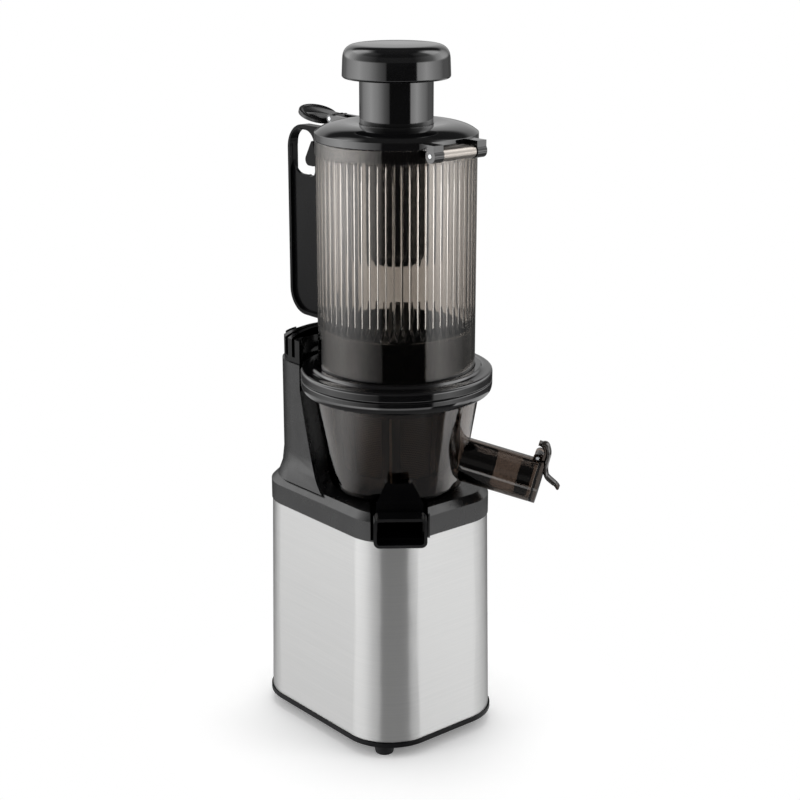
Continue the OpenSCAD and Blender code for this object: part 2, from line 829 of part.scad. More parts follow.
module rotor() {
  z0 = lower_bell_z - fan_h - bell_t / 2;
  placed() color("#84898f") translate([0, motor_y, 0]) {
    translate([0, 0, stack_z]) cylinder(h = stack_h, r = rotor_r);
    translate([0, 0, z0]) cylinder(h = case_z + case_t - z0, r = motor_shaft_r);
    translate([0, 0, z0]) cylinder(h = wheel_z + wheel_h - z0, r = motor_tip_r);
  }
}

module cooling_fan() {
  placed() color("#3a3d41") translate([0, motor_y, lower_bell_z - fan_h - bell_t / 2]) difference() {
    union() {
      cylinder(h = fan_h, r = fan_hub_r);
      for (i = [0:fan_blades - 1]) rotate([0, 0, 360 * i / fan_blades])
        translate([fan_r / 2 + fan_hub_r / 2 - over, 0, fan_h / 2]) rotate([fan_tilt, 0, 0])
          cube([fan_r - fan_hub_r + over, fan_t, fan_h], center = true);
    }
    translate([0, 0, -over]) cylinder(h = fan_h + 2 * over, r = motor_shaft_r);
  }
}

// Spur gear standing on the z = 0 plane
module spur(teeth, unit, h, bore) {
  linear_extrude(h) difference() {
    polygon(gear_points(teeth, unit, addendum_share, dedendum_share, backlash));
    if (bore > 0) circle(bore);
  }
}

module motor_pinion() {
  placed() color("#c8a951") translate([0, motor_y, wheel_z])
    rotate([0, 0, to_motor + 180 + 180 / pinion_teeth])
      spur(pinion_teeth, gear_module, wheel_h - seam, motor_tip_r);
}

module stage_gear() {
  placed() color("#e8e4d6") translate([stage_x, stage_y, wheel_z]) difference() {
    union() {
      rotate([0, 0, to_motor]) spur(wheel_teeth, gear_module, wheel_h, 0);
      rotate([0, 0, to_stage + 180 + 180 / small_teeth])
        spur(small_teeth, gear_module, wheel_h + small_h, 0);
    }
    translate([0, 0, -over]) cylinder(h = wheel_h + small_h + 2 * over, r = pin_r + run);
  }
}

module stage_pin() {
  placed() color("#d5d7da") translate([stage_x, stage_y, case_z])
    cylinder(h = cover_z + cover_t - case_z, r = pin_r);
}

module output_gear() {
  placed() color("#c9ccd0") translate([0, 0, output_z]) rotate([0, 0, to_stage])
    spur(output_teeth, gear_module, output_h, shaft_body_r);
}

module drive_shaft() {
  placed() color("#dcdee0") {
    translate([0, 0, case_z + seam]) cylinder(h = output_z - case_z, r = shaft_tail_r);
    translate([0, 0, output_z - case_t / 2]) cylinder(h = hex_z - output_z + case_t / 2, r = shaft_body_r);
    translate([0, 0, hex_z - seam]) cylinder(h = hex_len, r = hex_flats / sqrt(3), $fn = 6);
  }
}

module drive_bearings() {
  placed() color("#b5b8bc") {
    bearing(case_z + case_t, bearing_h, shaft_tail_r);
    bearing(cover_z + seam, cover_t, shaft_body_r);
  }
}

module bearing(z, h, bore) {
  translate([0, 0, z]) difference() {
    cylinder(h = h, r = bearing_r - seam);
    translate([0, 0, -over]) cylinder(h = h + 2 * over, r = bore + run);
  }
}

module shaft_seal() {
  placed() color("#3b3b3d") translate([0, 0, deck_z - seal_ring_h]) difference() {
    cylinder(h = seal_ring_h, r = seal_lip_r - seam);
    translate([0, 0, -over]) cylinder(h = seal_ring_h + 2 * over, r = shaft_body_r + gap / 2);
  }
}

// Distance from the axis to the sleeve's outer face at a height
function sleeve_x(z) = base_half_x + base_flare * (sleeve_top - z) / sleeve_h;

module at_knob() { translate([sleeve_x(knob_z) + knob_gap, knob_y, knob_z]) rotate([0, 90, 0]) children(); }

module control_knob() {
  placed() color("#1a1a1c") at_knob() difference() {
    union() {
      cylinder(h = knob_out - knob_gap - grip_r, r1 = knob_r, r2 = knob_r - grip_r);
      translate([0, 0, knob_out - knob_gap - grip_r])
        cylinder(h = grip_r, r1 = knob_r - grip_r, r2 = knob_r - 2 * grip_r);
    }
    for (i = [0:knob_grips - 1]) rotate([0, 0, 360 * i / knob_grips])
      translate([knob_r, 0, grip_r]) cylinder(h = knob_out, r = grip_r);
    translate([0, 0, -over]) cylinder(h = knob_out / 2 + over, r = spindle_r);
  }
}

module knob_spindle() {
  placed() color("#c5c8cb") at_knob() translate([0, 0, -spindle_len]) cylinder(h = spindle_len + knob_out / 2,
    r = spindle_r);
}

module knob_switch() {
  placed() color("#2f4f6f") at_knob() translate([0, 0, -knob_gap - base_flare - sleeve_t - switch_t / 2 - 2 * gap])
    difference() {
      cube([switch_w, switch_w, switch_t], center = true);
      cylinder(h = switch_t + over, r = spindle_r + run, center = true);
    }
}

module control_board() {
  placed() color("#2d6b43") translate([-base_half_x + base_corner / 2, corner_back / 2 - board_w / 2, rim_z + rim_h]) {
    cube([board_t, board_w, board_h]);
    for (i = [0:2]) translate([board_t - seam, board_w * (i + 0.5) / 4, board_h / 3])
      cube([relay_h * 2 / 3, relay_h, relay_h]);
  }
}

module safety_switch() {
  y0 = tower_front_r - button_proud + button_len + button_travel + gap;
  placed() color("#b8392f") translate([-switch_body_w / 2, y0, button_z - switch_body_h / 2])
    cube([switch_body_w, tower_back - shell_t - seam - y0, switch_body_h]);
}

module safety_button() {
  placed() color("#e9e9e6") translate([0, tower_front_r - button_proud, button_z]) rotate([-90, 0, 0]) {
    cylinder(h = button_len, r = button_r);
    translate([0, 0, button_proud + shell_t + gap]) cylinder(h = over, r = button_r + over);
  }
}

module cord_gland() {
  back = base_back + base_flare * (sleeve_top - gland_z) / sleeve_h;
  placed() color("#1b1b1d") translate([0, back, gland_z]) rotate([-90, 0, 0]) difference() {
    union() {
      translate([0, 0, -gland_in]) cylinder(h = gland_in + gland_out, r = gland_r);
      translate([0, 0, gap]) cylinder(h = gland_out / 2, r = gland_flange_r);
    }
    translate([0, 0, -gland_in - over]) cylinder(h = gland_in + gland_out + 2 * over, r = gland_bore_r);
  }
}

// Half profile of the bowl, moved in by a wall thickness and cut off at the top
function bowl_profile(inset, top) =
  let(n = sqrt(1 + wall_slope * wall_slope), r = bowl_round - inset,
      cx = bowl_low_r + wall_slope * bowl_round - bowl_round * n, cz = bowl_z + bowl_round)
  concat([[0, bowl_z + inset]], arc(cx, cz, r, -90, -atan(wall_slope)),
    [[bowl_wall(top) - inset * n, top], [0, top]]);

module juice_bowl() {
  placed() color("#3a3532", 0.75) difference() {
    union() {
      rotate_extrude() polygon(bowl_profile(0, bowl_top));
      difference() {
        at_spout() rotate([0, 90, 0]) cylinder(h = spout_len, r = spout_r);
        rotate_extrude() polygon(bowl_profile(bowl_t / 2, bowl_top));
      }
      cap_ears();
    }
    difference() {
      rotate_extrude() polygon(bowl_profile(bowl_t, bowl_top + over));
      translate([0, 0, bowl_z]) cylinder(h = bowl_t + hub_h, r = hub_r);
    }
    at_spout() translate([spout_root_r / 2, 0, 0]) rotate([0, 90, 0])
      cylinder(h = spout_len, r = spout_r - spout_t);
    translate([0, 0, bowl_z - over]) cylinder(h = bowl_t + hub_h + 2 * over, r = hub_bore_r);
    at_chute() translate([pulp_hole_r, 0, bowl_z - over])
      translate([0, -pulp_hole_w / 2, 0]) cube([pulp_hole_len, pulp_hole_w, bowl_t + 2 * over]);
  }
}

// Two ears on the spout's end that hold the cap's pin
module cap_ears() {
  at_spout() for (s = [-1, 1]) translate([0, s * ear_half, 0]) rotate([90, 0, 0])
    translate([0, 0, -ear_t / 2]) difference() {
      union() {
        translate([cap_pin_u, cap_pin_w]) cylinder(h = ear_t, r = ear_r);
        translate([cap_pin_u - ear_r, sqrt(spout_r * spout_r - ear_half * ear_half) - spout_t / 2, 0])
          cube([spout_len - cap_pin_u + ear_r, cap_pin_w - spout_r + spout_t, ear_t]);
      }
      translate([cap_pin_u, cap_pin_w, -over]) cylinder(h = ear_t + 2 * over, r = cap_pin_r);
    }
}

module bowl_rim_ring() {
  z0 = bowl_top - rim_ring_h;
  placed() color("#111113") rotate_extrude() difference() {
    polygon(concat([[bowl_wall(z0) + seam, z0]],
      arc(ring_r - rim_ring_h / 2, z0 + rim_ring_h / 2, rim_ring_h / 2, -80, 0),
      [[ring_r, bowl_top], [bowl_wall(bowl_top) + seam, bowl_top]]));
  }
}

module bowl_hub_seal() {
  placed() color("#d9d4c8") translate([0, 0, bowl_z + bowl_t + hub_h + seam]) difference() {
    cylinder(h = over, r = hub_r);
    translate([0, 0, -over]) cylinder(h = 3 * over, r = hub_bore_r);
  }
}

// Block of the chute between two reaches, with its own widths and heights at each end
module chute_block(x0, w0, z0, h0, x1, w1, z1, h1) {
  hull() {
    translate([x0, -w0 / 2, z0]) cube([seam, w0, h0]);
    translate([x1 - seam, -w1 / 2, z1]) cube([seam, w1, h1]);
  }
}

module pulp_chute() {
  duct_h = deck_z - seam - chute_floor_z;
  wide = cover_side_reach + 2 * chute_t;
  in = chute_t;
  cover_z0 = deck_z - over;
  placed() color("#0f0f11") at_chute() difference() {
    union() {
      chute_block(chute_start, chute_inner_w, chute_floor_z, duct_h, wide, chute_w, chute_floor_z,
        duct_h);
      chute_block(cover_top_reach, cover_top_w, cover_z0, cover_top_z - cover_z0, cover_side_reach,
        chute_w - 2 * in, cover_z0, cover_side_z - cover_z0);
      translate([chute_reach - chute_mouth_len, 0, 0]) rotate([90, 0, 90])
        linear_extrude(chute_mouth_len) round_rect(-chute_w / 2, chute_mouth_z, chute_w / 2,
          chute_mouth_z + chute_mouth_h, 2 * in);
    }
    chute_block(chute_start + in, chute_inner_w - 2 * in, chute_floor_z + in, duct_h - 2 * in,
      chute_reach - chute_mouth_len / 2, chute_w - 2 * in, chute_floor_z + in, duct_h - 2 * in);
    translate([chute_reach - chute_mouth_len + in, 0, 0]) rotate([90, 0, 90])
      linear_extrude(chute_mouth_len) round_rect(in - chute_w / 2, chute_mouth_z + in,
        chute_w / 2 - in, chute_mouth_z + chute_mouth_h - in, in);
    translate([pulp_hole_r, -pulp_hole_w / 2, deck_z - 2 * in]) cube([pulp_hole_len, pulp_hole_w, 3 * in]);
    bowl_clearance();
  }
}

// The bowl's outer form, grown by a seam, for what is fitted against it
module bowl_clearance() {
  translate([0, 0, bowl_z - seam]) cylinder(h = bowl_round, r = bowl_low_r - bowl_round / 2);
  translate([0, 0, bowl_z + seam]) cylinder(h = bowl_h, r1 = bowl_low_r + seam, r2 = bowl_high_r + seam);
}

module pulp_seal() {
  lip = 1.4;
  placed() color("#cfcabd") at_chute() translate([pulp_hole_r - lip, -pulp_hole_w / 2 - lip, bowl_z - gap])
    difference() {
      cube([pulp_hole_len + 2 * lip, pulp_hole_w + 2 * lip, gap - seam]);
      translate([lip, lip, -over]) cube([pulp_hole_len, pulp_hole_w, 3 * over]);
    }
}

module juice_cap() {
  u = spout_len + cap_gap + seal_h;
  hub = [cap_pin_u, cap_pin_w];
  placed() color("#4a423d", 0.8) at_spout() {
    translate([u, 0, 0]) rotate([0, 90, 0]) cylinder(h = cap_disc_t, r = spout_r);
    rotate([90, 0, 0]) translate([0, 0, -lever_half]) difference() {
      linear_extrude(2 * lever_half) union() {
        translate(hub) circle(lever_hub_r);
        polygon(strip([hub + [-lever_t, 3 * ear_r - over], hub + [2 * lever_t, 3 * ear_r],
          hub + [3 * lever_t, 0], [u + cap_disc_t + lever_t / 3, spout_r / 2]], lever_t));
        polygon(strip([[u + cap_disc_t + lever_t / 3, spout_r / 2 + lever_t],
          [u + cap_disc_t + lever_t, spout_r / 4], [u + 2 * ear_half, spout_r / 4],
          [tail_u, 0]], lever_t));
        translate([tail_u, 0]) circle(lever_t / 2);
        translate([cap_pin_u + lever_t, cap_pin_w - lever_t]) square([u - cap_pin_u + cap_disc_t - lever_t,
          2 * lever_t]);
        translate([u, spout_r / 2]) square([cap_disc_t, cap_pin_w - spout_r / 2]);
      }
      translate([cap_pin_u, cap_pin_w, -over]) cylinder(h = 2 * (lever_half + over), r = cap_pin_r + run);
    }
  }
}

module juice_cap_seal() {
  placed() color("#0c0c0d") at_spout() translate([spout_len + cap_gap, 0, 0]) rotate([0, 90, 0])
    difference() {
      cylinder(h = seal_h, r = spout_r - seam);
      translate([0, 0, -over]) cylinder(h = seal_h + 2 * over, r = spout_r - spout_t - over);
    }
}

module juice_cap_pin() {
  placed() color("#d8dadc") at_spout() translate([cap_pin_u, 0, cap_pin_w]) rotate([90, 0, 0])
    cylinder(h = 2 * ear_half + ear_t, r = cap_pin_r, center = true);
}

// Conical shell that follows the strainer's wall between two heights
module strain_shell(z0, z1, off, t) {
  rotate_extrude() polygon([[strain_wall(z0) + off, z0], [strain_wall(z0) + off + t, z0],
    [strain_wall(z1) + off + t, z1], [strain_wall(z1) + off, z1]]);
}

module strainer_frame() {
  top = strain_z + strain_h;
  foot = strain_z - frame_floor_t;
  placed() color("#5a5550") difference() {
    union() {
      strain_shell(foot, top, screen_t + seam, frame_t);
      translate([0, 0, foot]) cylinder(h = frame_floor_t, r = strain_wall(foot) + screen_t + frame_t / 2);
    }
    arm_windows(strain_z + frame_band, top - frame_band, frame_ribs, rib_w, 0);
    translate([0, 0, foot - over]) cylinder(h = frame_floor_t + 2 * over, r = auger_core_r + over);
    at_chute() translate([pulp_hole_r, -pulp_hole_w / 2, foot - over])
      cube([pulp_hole_len, pulp_hole_w, frame_floor_t + 2 * over]);
  }
}

// What is cut away between upright arms of one width
module arm_windows(z0, z1, count, w, turn) {
  translate([0, 0, z0]) linear_extrude(z1 - z0) difference() {
    circle(bowl_high_r);
    for (i = [0:count - 1]) rotate([0, 0, 360 * i / count + turn])
      translate([0, -w / 2]) square([2 * bowl_high_r, w]);
  }
}

module strainer_screen() {
  placed() color("#b9b4ac") strain_shell(strain_z + seam, strain_z + strain_h, 0, screen_t);
}

module wiper_frame() {
  r_in = screen_t + frame_t + wiper_in_gap;
  placed() color("#6b645d") {
    translate([0, 0, wiper_z]) rotate([0, 0, ring_turn + 180 / ring_teeth])
      linear_extrude(bowl_gear_h - over) difference() {
        circle(strain_wall(wiper_z) + r_in + wiper_t / 2);
        polygon(gear_points(ring_teeth, bowl_module, dedendum_share, addendum_share, -backlash));
      }
    difference() {
      strain_shell(wiper_z, wiper_top, r_in, wiper_t);
      arm_windows(wiper_z + bowl_gear_h - over, wiper_top - wiper_band, wiper_arms, wiper_arm_w,
        180 / wiper_arms);
    }
  }
}

module wiper_blades() {
  off = screen_t + frame_t + wiper_in_gap + wiper_t + seam;
  placed() color("#c9c2b2") intersection() {
    strain_shell(wiper_z + 2 * wiper_band, wiper_top - wiper_band, off, blade_out);
    for (i = [0:wiper_arms - 1]) rotate([0, 0, 360 * (i + 0.5) / wiper_arms])
      translate([0, -blade_t / 2, wiper_z]) cube([bowl_high_r, blade_t, wiper_top - wiper_z]);
  }
}

module at_bowl_pinion() { rotate([0, 0, ring_turn]) translate([pinion_place, 0, 0]) children(); }

module bowl_pinion() {
  placed() color("#e2ddd0") at_bowl_pinion() translate([0, 0, wiper_z])
    rotate([0, 0, 180 + 180 / bowl_pinion_teeth])
      spur(bowl_pinion_teeth, bowl_module, bowl_gear_h - over - gap, pin_small_r + run);
}

module bowl_pinion_pin() {
  placed() color("#d0d2d5") at_bowl_pinion() translate([0, 0, bowl_z + bowl_t])
    cylinder(h = wiper_z + bowl_gear_h - bowl_z - bowl_t, r = pin_small_r);
}

module auger() {
  screw_z = strain_z + seam;
  wing_z = screw_z + screw_h;
  placed() color("#26211e") difference() {
    union() {
      translate([0, 0, wiper_z]) rotate([0, 0, ring_turn]) linear_extrude(bowl_gear_h - over)
        polygon(gear_points(auger_gear_teeth, bowl_module, addendum_share, dedendum_share, backlash));
      translate([0, 0, wiper_z + bowl_gear_h - over])
        cylinder(h = screw_z + screw_h - wiper_z, r1 = auger_core_r - 3 * over, r2 = auger_core_r);
      translate([0, 0, screw_z]) linear_extrude(screw_h, twist = -360 * screw_turns, slices = 40, $fn = 16,
        scale = screw_grow_share) auger_blade(2, auger_r, blade_w);
      translate([0, 0, wing_z - seam]) rotate([0, 0, 360 * screw_turns])
        linear_extrude(wing_h, twist = -wing_turn, slices = 48, scale = wing_end_share, $fn = 16)
          wing_blade(auger_r * screw_grow_share - over);
    }
    translate([0, 0, wiper_z - over]) cylinder(h = socket_h + over, r = socket_r);
  }
}

// Plan of the screw: blades across a core
module auger_blade(count, r, w) {
  for (i = [0:count - 1]) rotate([0, 0, 360 * i / count]) {
    translate([0, -w / 2]) square([r - w / 2, w]);
    translate([r - w / 2, 0]) circle(w / 2, $fn = 16);
  }
}

// Plan of the wing: a core with one broad lobe
module wing_blade(r) {
  hull() {
    circle(auger_core_r, $fn = 32);
    translate([r - wing_tip_r, 0]) circle(wing_tip_r, $fn = 24);
  }
}

module auger_socket() {
  placed() color("#d3d5d8") translate([0, 0, wiper_z]) difference() {
    cylinder(h = socket_h - gap, r = socket_r - seam);
    translate([0, 0, -over]) cylinder(h = hex_z + hex_len - wiper_z + 2 * over,
      r = (hex_flats / 2 + hex_gap) * 2 / sqrt(3), $fn = 6);
    translate([0, 0, -over]) cylinder(h = bowl_z + bowl_t + hub_h - wiper_z + 3 * over, r = socket_r + over);
  }
}

module hopper_tube() {
  groove_z = plain_top;
  placed() color("#7d746c", 0.5) difference() {
    union() {
      translate([0, 0, hopper_z]) cylinder(h = hopper_len, r = hopper_r);
      translate([0, 0, flute_top]) cylinder(h = hopper_band_h, r = hopper_r + hopper_band_out);
      translate([-barrel_half, hinge_y, hinge_z - barrel_r + over / 2])
        cube([2 * barrel_half, -hinge_y - hopper_r + hopper_t / 2 + over,
          hopper_top - over / 2 - hinge_z + barrel_r - over / 2]);
      translate([-barrel_half, hinge_y, hinge_z]) rotate([0, 90, 0])
        cylinder(h = 2 * barrel_half, r = barrel_r);
    }
    translate([0, 0, hopper_z - over]) cylinder(h = hopper_len + 2 * over, r = hopper_in_r - flute_depth);
    translate([0, 0, groove_z]) linear_extrude(flute_top - groove_z) polygon(flute_points());
    translate([0, 0, flute_top - seam]) cylinder(h = hopper_band_h + over, r = hopper_in_r);
    translate([-barrel_half - over, hinge_y, hinge_z]) rotate([0, 90, 0])
      cylinder(h = 2 * (barrel_half + over), r = hinge_pin_r + run);
  }
}

// Fluted bore: four points to each flute
function flute_points() =
  [for (i = [0:flute_count - 1], k = [0:3])
    let(a = 360 * (i + k / 4) / flute_count,
        r = hopper_in_r - seam - (flute_depth - 2 * seam) * (1 + cos(90 * k)) / 2)
    [r * cos(a), r * sin(a)]];

module hopper_flange() {
  z1 = flange_top;
  placed() color("#0e0e10") rotate_extrude() polygon(concat(
    [[skirt_in_r, flange_z], [ring_r - over, flange_z], [ring_r, flange_z + over]],
    arc(ring_r - 1.5 * over, z1 - 1.5 * over, 1.5 * over, 0, 90, 5),
    [[collar_r + collar_run, z1], [collar_r, z1 + collar_rise], [hopper_r + gap, z1 + collar_rise],
      [hopper_r + gap, hopper_z - seam], [skirt_out_r, hopper_z - seam], [skirt_out_r, skirt_top],
      [skirt_in_r, skirt_top]]));
}

module hopper_seal() {
  r = bowl_wall(bowl_top) - bowl_t - 2 * seal_w;
  placed() color("#9b958a") translate([0, 0, flange_z - seal_h - seam]) difference() {
    cylinder(h = seal_h, r = r + seal_w);
    translate([0, 0, -over]) cylinder(h = seal_h + 2 * over, r = r);
  }
}

// Side view of the handle, drawn in distance and height, moved in all round by an inset
module handle_side(inset) {
  difference() {
    union() {
      difference() {
        round_rect(handle_y0 + inset, handle_z0 + inset, handle_reach - inset, handle_z1 - inset,
          handle_round - inset);
        translate([0, handle_z0 - over]) square([handle_y0 + inset, handle_z1]);
      }
      translate([handle_y0 + inset, handle_z0 + inset])
        square([handle_round, handle_z1 - handle_z0 - 2 * inset]);
    }
    round_rect(handle_y0 - 2 * hand_round, hand_gap_z0 - inset, hand_gap_y1 + inset * gap_rim_share,
      hand_gap_z1 + inset, hand_round);
  }
}

// The finger hole, which runs on under the hook towards the hopper
module handle_hole() {
  round_rect(hole_y0, hole_z0, hole_y1, hole_z1, hole_round);
  round_rect(hole_y0 - hole_back, hole_z0, hole_y0 + 2 * hole_back_round, hook_z, hole_back_round);
}

// The drop-shaped finger hook on the hopper's side of the hole
module finger_hook() {
  hull() {
    translate([hook_y, hook_z]) circle(hook_r, $fn = 32);
    translate([hole_y0 - hook_tip_r, hook_z]) circle(hook_r, $fn = 32);
    translate([hole_y0 - hook_tip_r / 2, hook_z + 3 * hook_r]) circle(hook_tip_r, $fn = 32);
  }
}

module upright(half) { rotate([90, 0, 90]) translate([0, 0, -half]) linear_extrude(2 * half) children(); }

module handle() {
  placed() color("#121214") difference() {
    union() {
      difference() {
        upright(handle_w / 2) difference() {
          handle_side(0);
          handle_hole();
        }
        for (s = [-1, 1]) translate([s * (handle_w / 2 - web_sink / 2 + over / 2), 0, 0])
          upright(web_sink / 2 + over / 2) handle_side(rim_w);
      }
      upright(handle_w / 2) finger_hook();
      upright(mount_half) intersection() {
        handle_side(0);
        square([handle_y0 + pad_t, handle_z1 + over]);
      }
      handle_screw_places() translate([0, 0, seam + over]) cylinder(h = hand_round + pad_t, r = screw_boss_r);
    }
    translate([0, 0, -seam]) latch_slot();
    handle_screw_places() translate([0, 0, -over]) cylinder(h = mount_t + 3 * over + hand_round, r = screw_r);
  }
}

// Room in the handle's top arm for the latch hook, open upwards so that the lid can swing
module latch_slot() {
  w = latch_half + slot_room;
  y0 = handle_y0 - over;
  translate([-w, y0, latch_z - hook_drop - slot_room])
    cube([2 * w, latch_y + hook_t / 2 + toe + slot_room - y0, hook_drop + slot_room]);
}

module handle_mount() {
  placed() color("#55514d") intersection() {
    difference() {
      cylinder(h = handle_z1, r = mount_y + 2 * mount_t);
      translate([0, 0, -over]) cylinder(h = handle_z1 + 2 * over, r = hopper_r + hopper_band_out + seam);
    }
    translate([-mount_half, 0, handle_z0]) cube([2 * mount_half, mount_y + mount_t, hopper_top - handle_z0 - over]);
  }
}

module handle_screw_places() {
  for (z = [handle_z0 + hand_round, hand_gap_z1 + hand_round / 2])
    translate([0, mount_y + mount_t, z]) rotate([-90, 0, 0]) children();
}

module handle_screws() {
  placed() color("#c5c8cb") handle_screw_places() translate([0, 0, seam]) cylinder(h = hand_round, r = screw_r - seam);
}

module hinge_pin() {
  len = 2 * (barrel_half + gap + knuckle_w);
  placed() color("#e3e5e7") translate([-len / 2 - gap, hinge_y, hinge_z]) rotate([0, 90, 0])
    cylinder(h = len + 2 * gap, r = hinge_pin_r);
}

// Half profile of the lid
function lid_profile() =
  concat([[lid_r, lid_z], [lid_r, lid_band_top - over / 2], [lid_r - over / 2, lid_band_top]],
    [for (i = [1:12]) let(t = i / 12) [lid_r - over - (lid_r - over - crest_r) * t,
      lid_band_top + lid_rise * dome(t)]],
    [[shaft_r + gap + 2 * over, lid_top - over / 2], [shaft_r + gap, lid_top - over],
      [shaft_r + gap, seat_z], [core_r + gap, seat_z], [core_r + gap, seat_z - seat_web],
      [shaft_r + 2 * lid_t, seat_z - seat_web]],
    [[lid_r - 3 * lid_t, lid_band_top - lid_t / 2], [lid_r - 2 * lid_t, lid_z + lid_plug_t]],
    [[hopper_in_r - 2 * gap - lid_plug_t, lid_z + lid_plug_t],
      [hopper_in_r - 2 * gap - lid_plug_t, lid_z - lid_plug_h],
      [hopper_in_r - 2 * gap, lid_z - lid_plug_h], [hopper_in_r - 2 * gap, lid_z]]);

module lid() {
  placed() color("#0d0d0f") difference() {
    union() {
      rotate_extrude() polygon(lid_profile());
      for (s = [-1, 1]) translate([s * (barrel_half + gap + knuckle_w / 2), 0, 0]) lid_knuckle();
      for (s = [-1, 1]) translate([s * (latch_half + gap + lug_t / 2), 0, 0]) latch_lug();
    }
    translate([-base_half_x, hinge_y, hinge_z]) rotate([0, 90, 0])
      cylinder(h = 2 * base_half_x, r = hinge_pin_r + run);
    translate([-base_half_x, latch_y, latch_z]) rotate([0, 90, 0])
      cylinder(h = 2 * base_half_x, r = latch_pin_r);
    translate([0, 0, lid_z - 4 * knuckle_r]) difference() {
      cylinder(h = 4 * knuckle_r - over / 2, r = hopper_r + hopper_band_out + gap);
      translate([0, 0, -over]) cylinder(h = 4 * knuckle_r + over, r = hopper_in_r - 2 * gap + seam);
    }
    translate([0, 0, seat_z]) cylinder(h = lid_rise + over, r = shaft_r + gap);
  }
}

// One hinge knuckle with the arm that joins it to the lid's band
module lid_knuckle() {
  translate([-knuckle_w / 2, hinge_y, hinge_z]) rotate([0, 90, 0]) cylinder(h = knuckle_w, r = knuckle_r);
  translate([-knuckle_w / 2, hinge_y - knuckle_r + over, hinge_z])
    cube([knuckle_w, arm_t, lid_band_top - hinge_z - over]);
  translate([-knuckle_w / 2, hinge_y - knuckle_r + over, lid_z])
    cube([knuckle_w, -hinge_y - lid_r + knuckle_r + 2 * arm_t, lid_band_h - over]);
}

// One lug behind the lid that carries the latch's pin
module latch_lug() {
  translate([-lug_t / 2, latch_y, latch_z]) rotate([0, 90, 0]) cylinder(h = lug_t, r = latch_hub_r - over / 2);
  translate([-lug_t / 2, lid_r - 2 * arm_t, lid_z + 2 * gap])
    cube([lug_t, latch_y - lid_r + 2 * arm_t, latch_z + latch_hub_r - lid_z - over - 2 * gap]);
}

module lid_seal() {
  placed() color("#1f1f21") translate([0, 0, seat_z - seat_web - seal_h - seam]) difference() {
    cylinder(h = seal_h, r = shaft_r + lid_t);
    translate([0, 0, -over]) cylinder(h = seal_h + 2 * over, r = core_r + gap);
  }
}

module latch_lever() {
  placed() color("#151517") difference() {
    union() {
      translate([-latch_half, latch_y, latch_z]) rotate([0, 90, 0])
        cylinder(h = 2 * latch_half, r = latch_hub_r);
      translate([-latch_half, latch_y, latch_z]) cube([2 * latch_half, neck_len, latch_hub_r - over / 2]);
      hull() {
        translate([-latch_half, latch_y + neck_len - over, latch_z])
          cube([2 * latch_half, over, latch_hub_r - over / 2]);
        paddle_disc(paddle_r * neck_share);
      }
      paddle_disc(paddle_r);
      translate([-latch_half, latch_y - hook_t / 2, latch_z - hook_drop])
        cube([2 * latch_half, hook_t, hook_drop]);
      translate([-latch_half, latch_y, latch_z - hook_drop]) cube([2 * latch_half, hook_t / 2 + toe, hook_t]);
    }
    translate([-base_half_x, latch_y, latch_z]) rotate([0, 90, 0])
      cylinder(h = 2 * base_half_x, r = latch_pin_r + run);
  }
}

module paddle_disc(r) {
  translate([0, paddle_y, latch_z + paddle_lift]) rotate([paddle_tilt, 0, 0])
    cylinder(h = paddle_t, r = r, center = true, $fn = 48);
}

module latch_pin() {
  len = 2 * (latch_half + gap + lug_t);
  placed() color("#d6d8da") translate([-len / 2, latch_y, latch_z]) rotate([0, 90, 0])
    cylinder(h = len, r = latch_pin_r);
}

module pusher_shaft() {
  n = core_round;
  placed() color("#0b0b0d") rotate_extrude() polygon(concat(
    [[0, core_z]], arc(core_foot_r - n, core_z + n, n, -90, 0),
    [[core_r, shaft_z], [shaft_r, shaft_z], [shaft_r, shaft_top], [0, shaft_top]]));
}

module pusher_cap() {
  z1 = shaft_top + pusher_cap_h;
  placed() color("#0d0d0f") rotate_extrude() polygon(concat(
    [[0, shaft_top + seam], [shaft_r + over, shaft_top + seam], [cap_r - 2 * cap_t, shaft_top + seam],
      [cap_r - cap_t / 2, shaft_top + seam], [cap_r, shaft_top + over]],
    arc(cap_r - cap_draft - cap_round, z1 - cap_round - over / 2, cap_round, 0, 80),
    [[0, z1]]));
}

base_plate();
rubber_feet();
foot_screws();
steel_sleeve();
top_shell();
tower_shell();
tower_cap();
gearbox_case();
gearbox_cover();
case_screws();
motor_stator();
motor_coils();
motor_upper_bell();
motor_lower_bell();
motor_tie_screws();
rotor();
cooling_fan();
motor_pinion();
stage_gear();
stage_pin();
output_gear();
drive_shaft();
drive_bearings();
shaft_seal();
control_knob();
knob_spindle();
knob_switch();
control_board();
safety_switch();
safety_button();
cord_gland();
juice_bowl();
bowl_rim_ring();
bowl_hub_seal();
pulp_chute();
pulp_seal();
juice_cap();
juice_cap_seal();
juice_cap_pin();
strainer_frame();
strainer_screen();
wiper_frame();
wiper_blades();
bowl_pinion();
bowl_pinion_pin();
auger();
auger_socket();
hopper_tube();
hopper_flange();
hopper_seal();
handle();
handle_mount();
handle_screws();
hinge_pin();
lid();
lid_seal();
latch_lever();
latch_pin();
pusher_shaft();
pusher_cap();
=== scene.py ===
"""Looks of a cold press juicer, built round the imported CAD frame.

Lengths in the classes are millimetres measured from the auger's axis, with z from the floor.
Place turns them into the frame's metres. A section is a row of corners: radius, height, rounding.
"""
import sys

import json
import logging
import math
from dataclasses import dataclass
from enum import Enum
from typing import Mapping, Sequence

import bmesh
import bpy
import numpy as np
from mathutils import Matrix, Vector

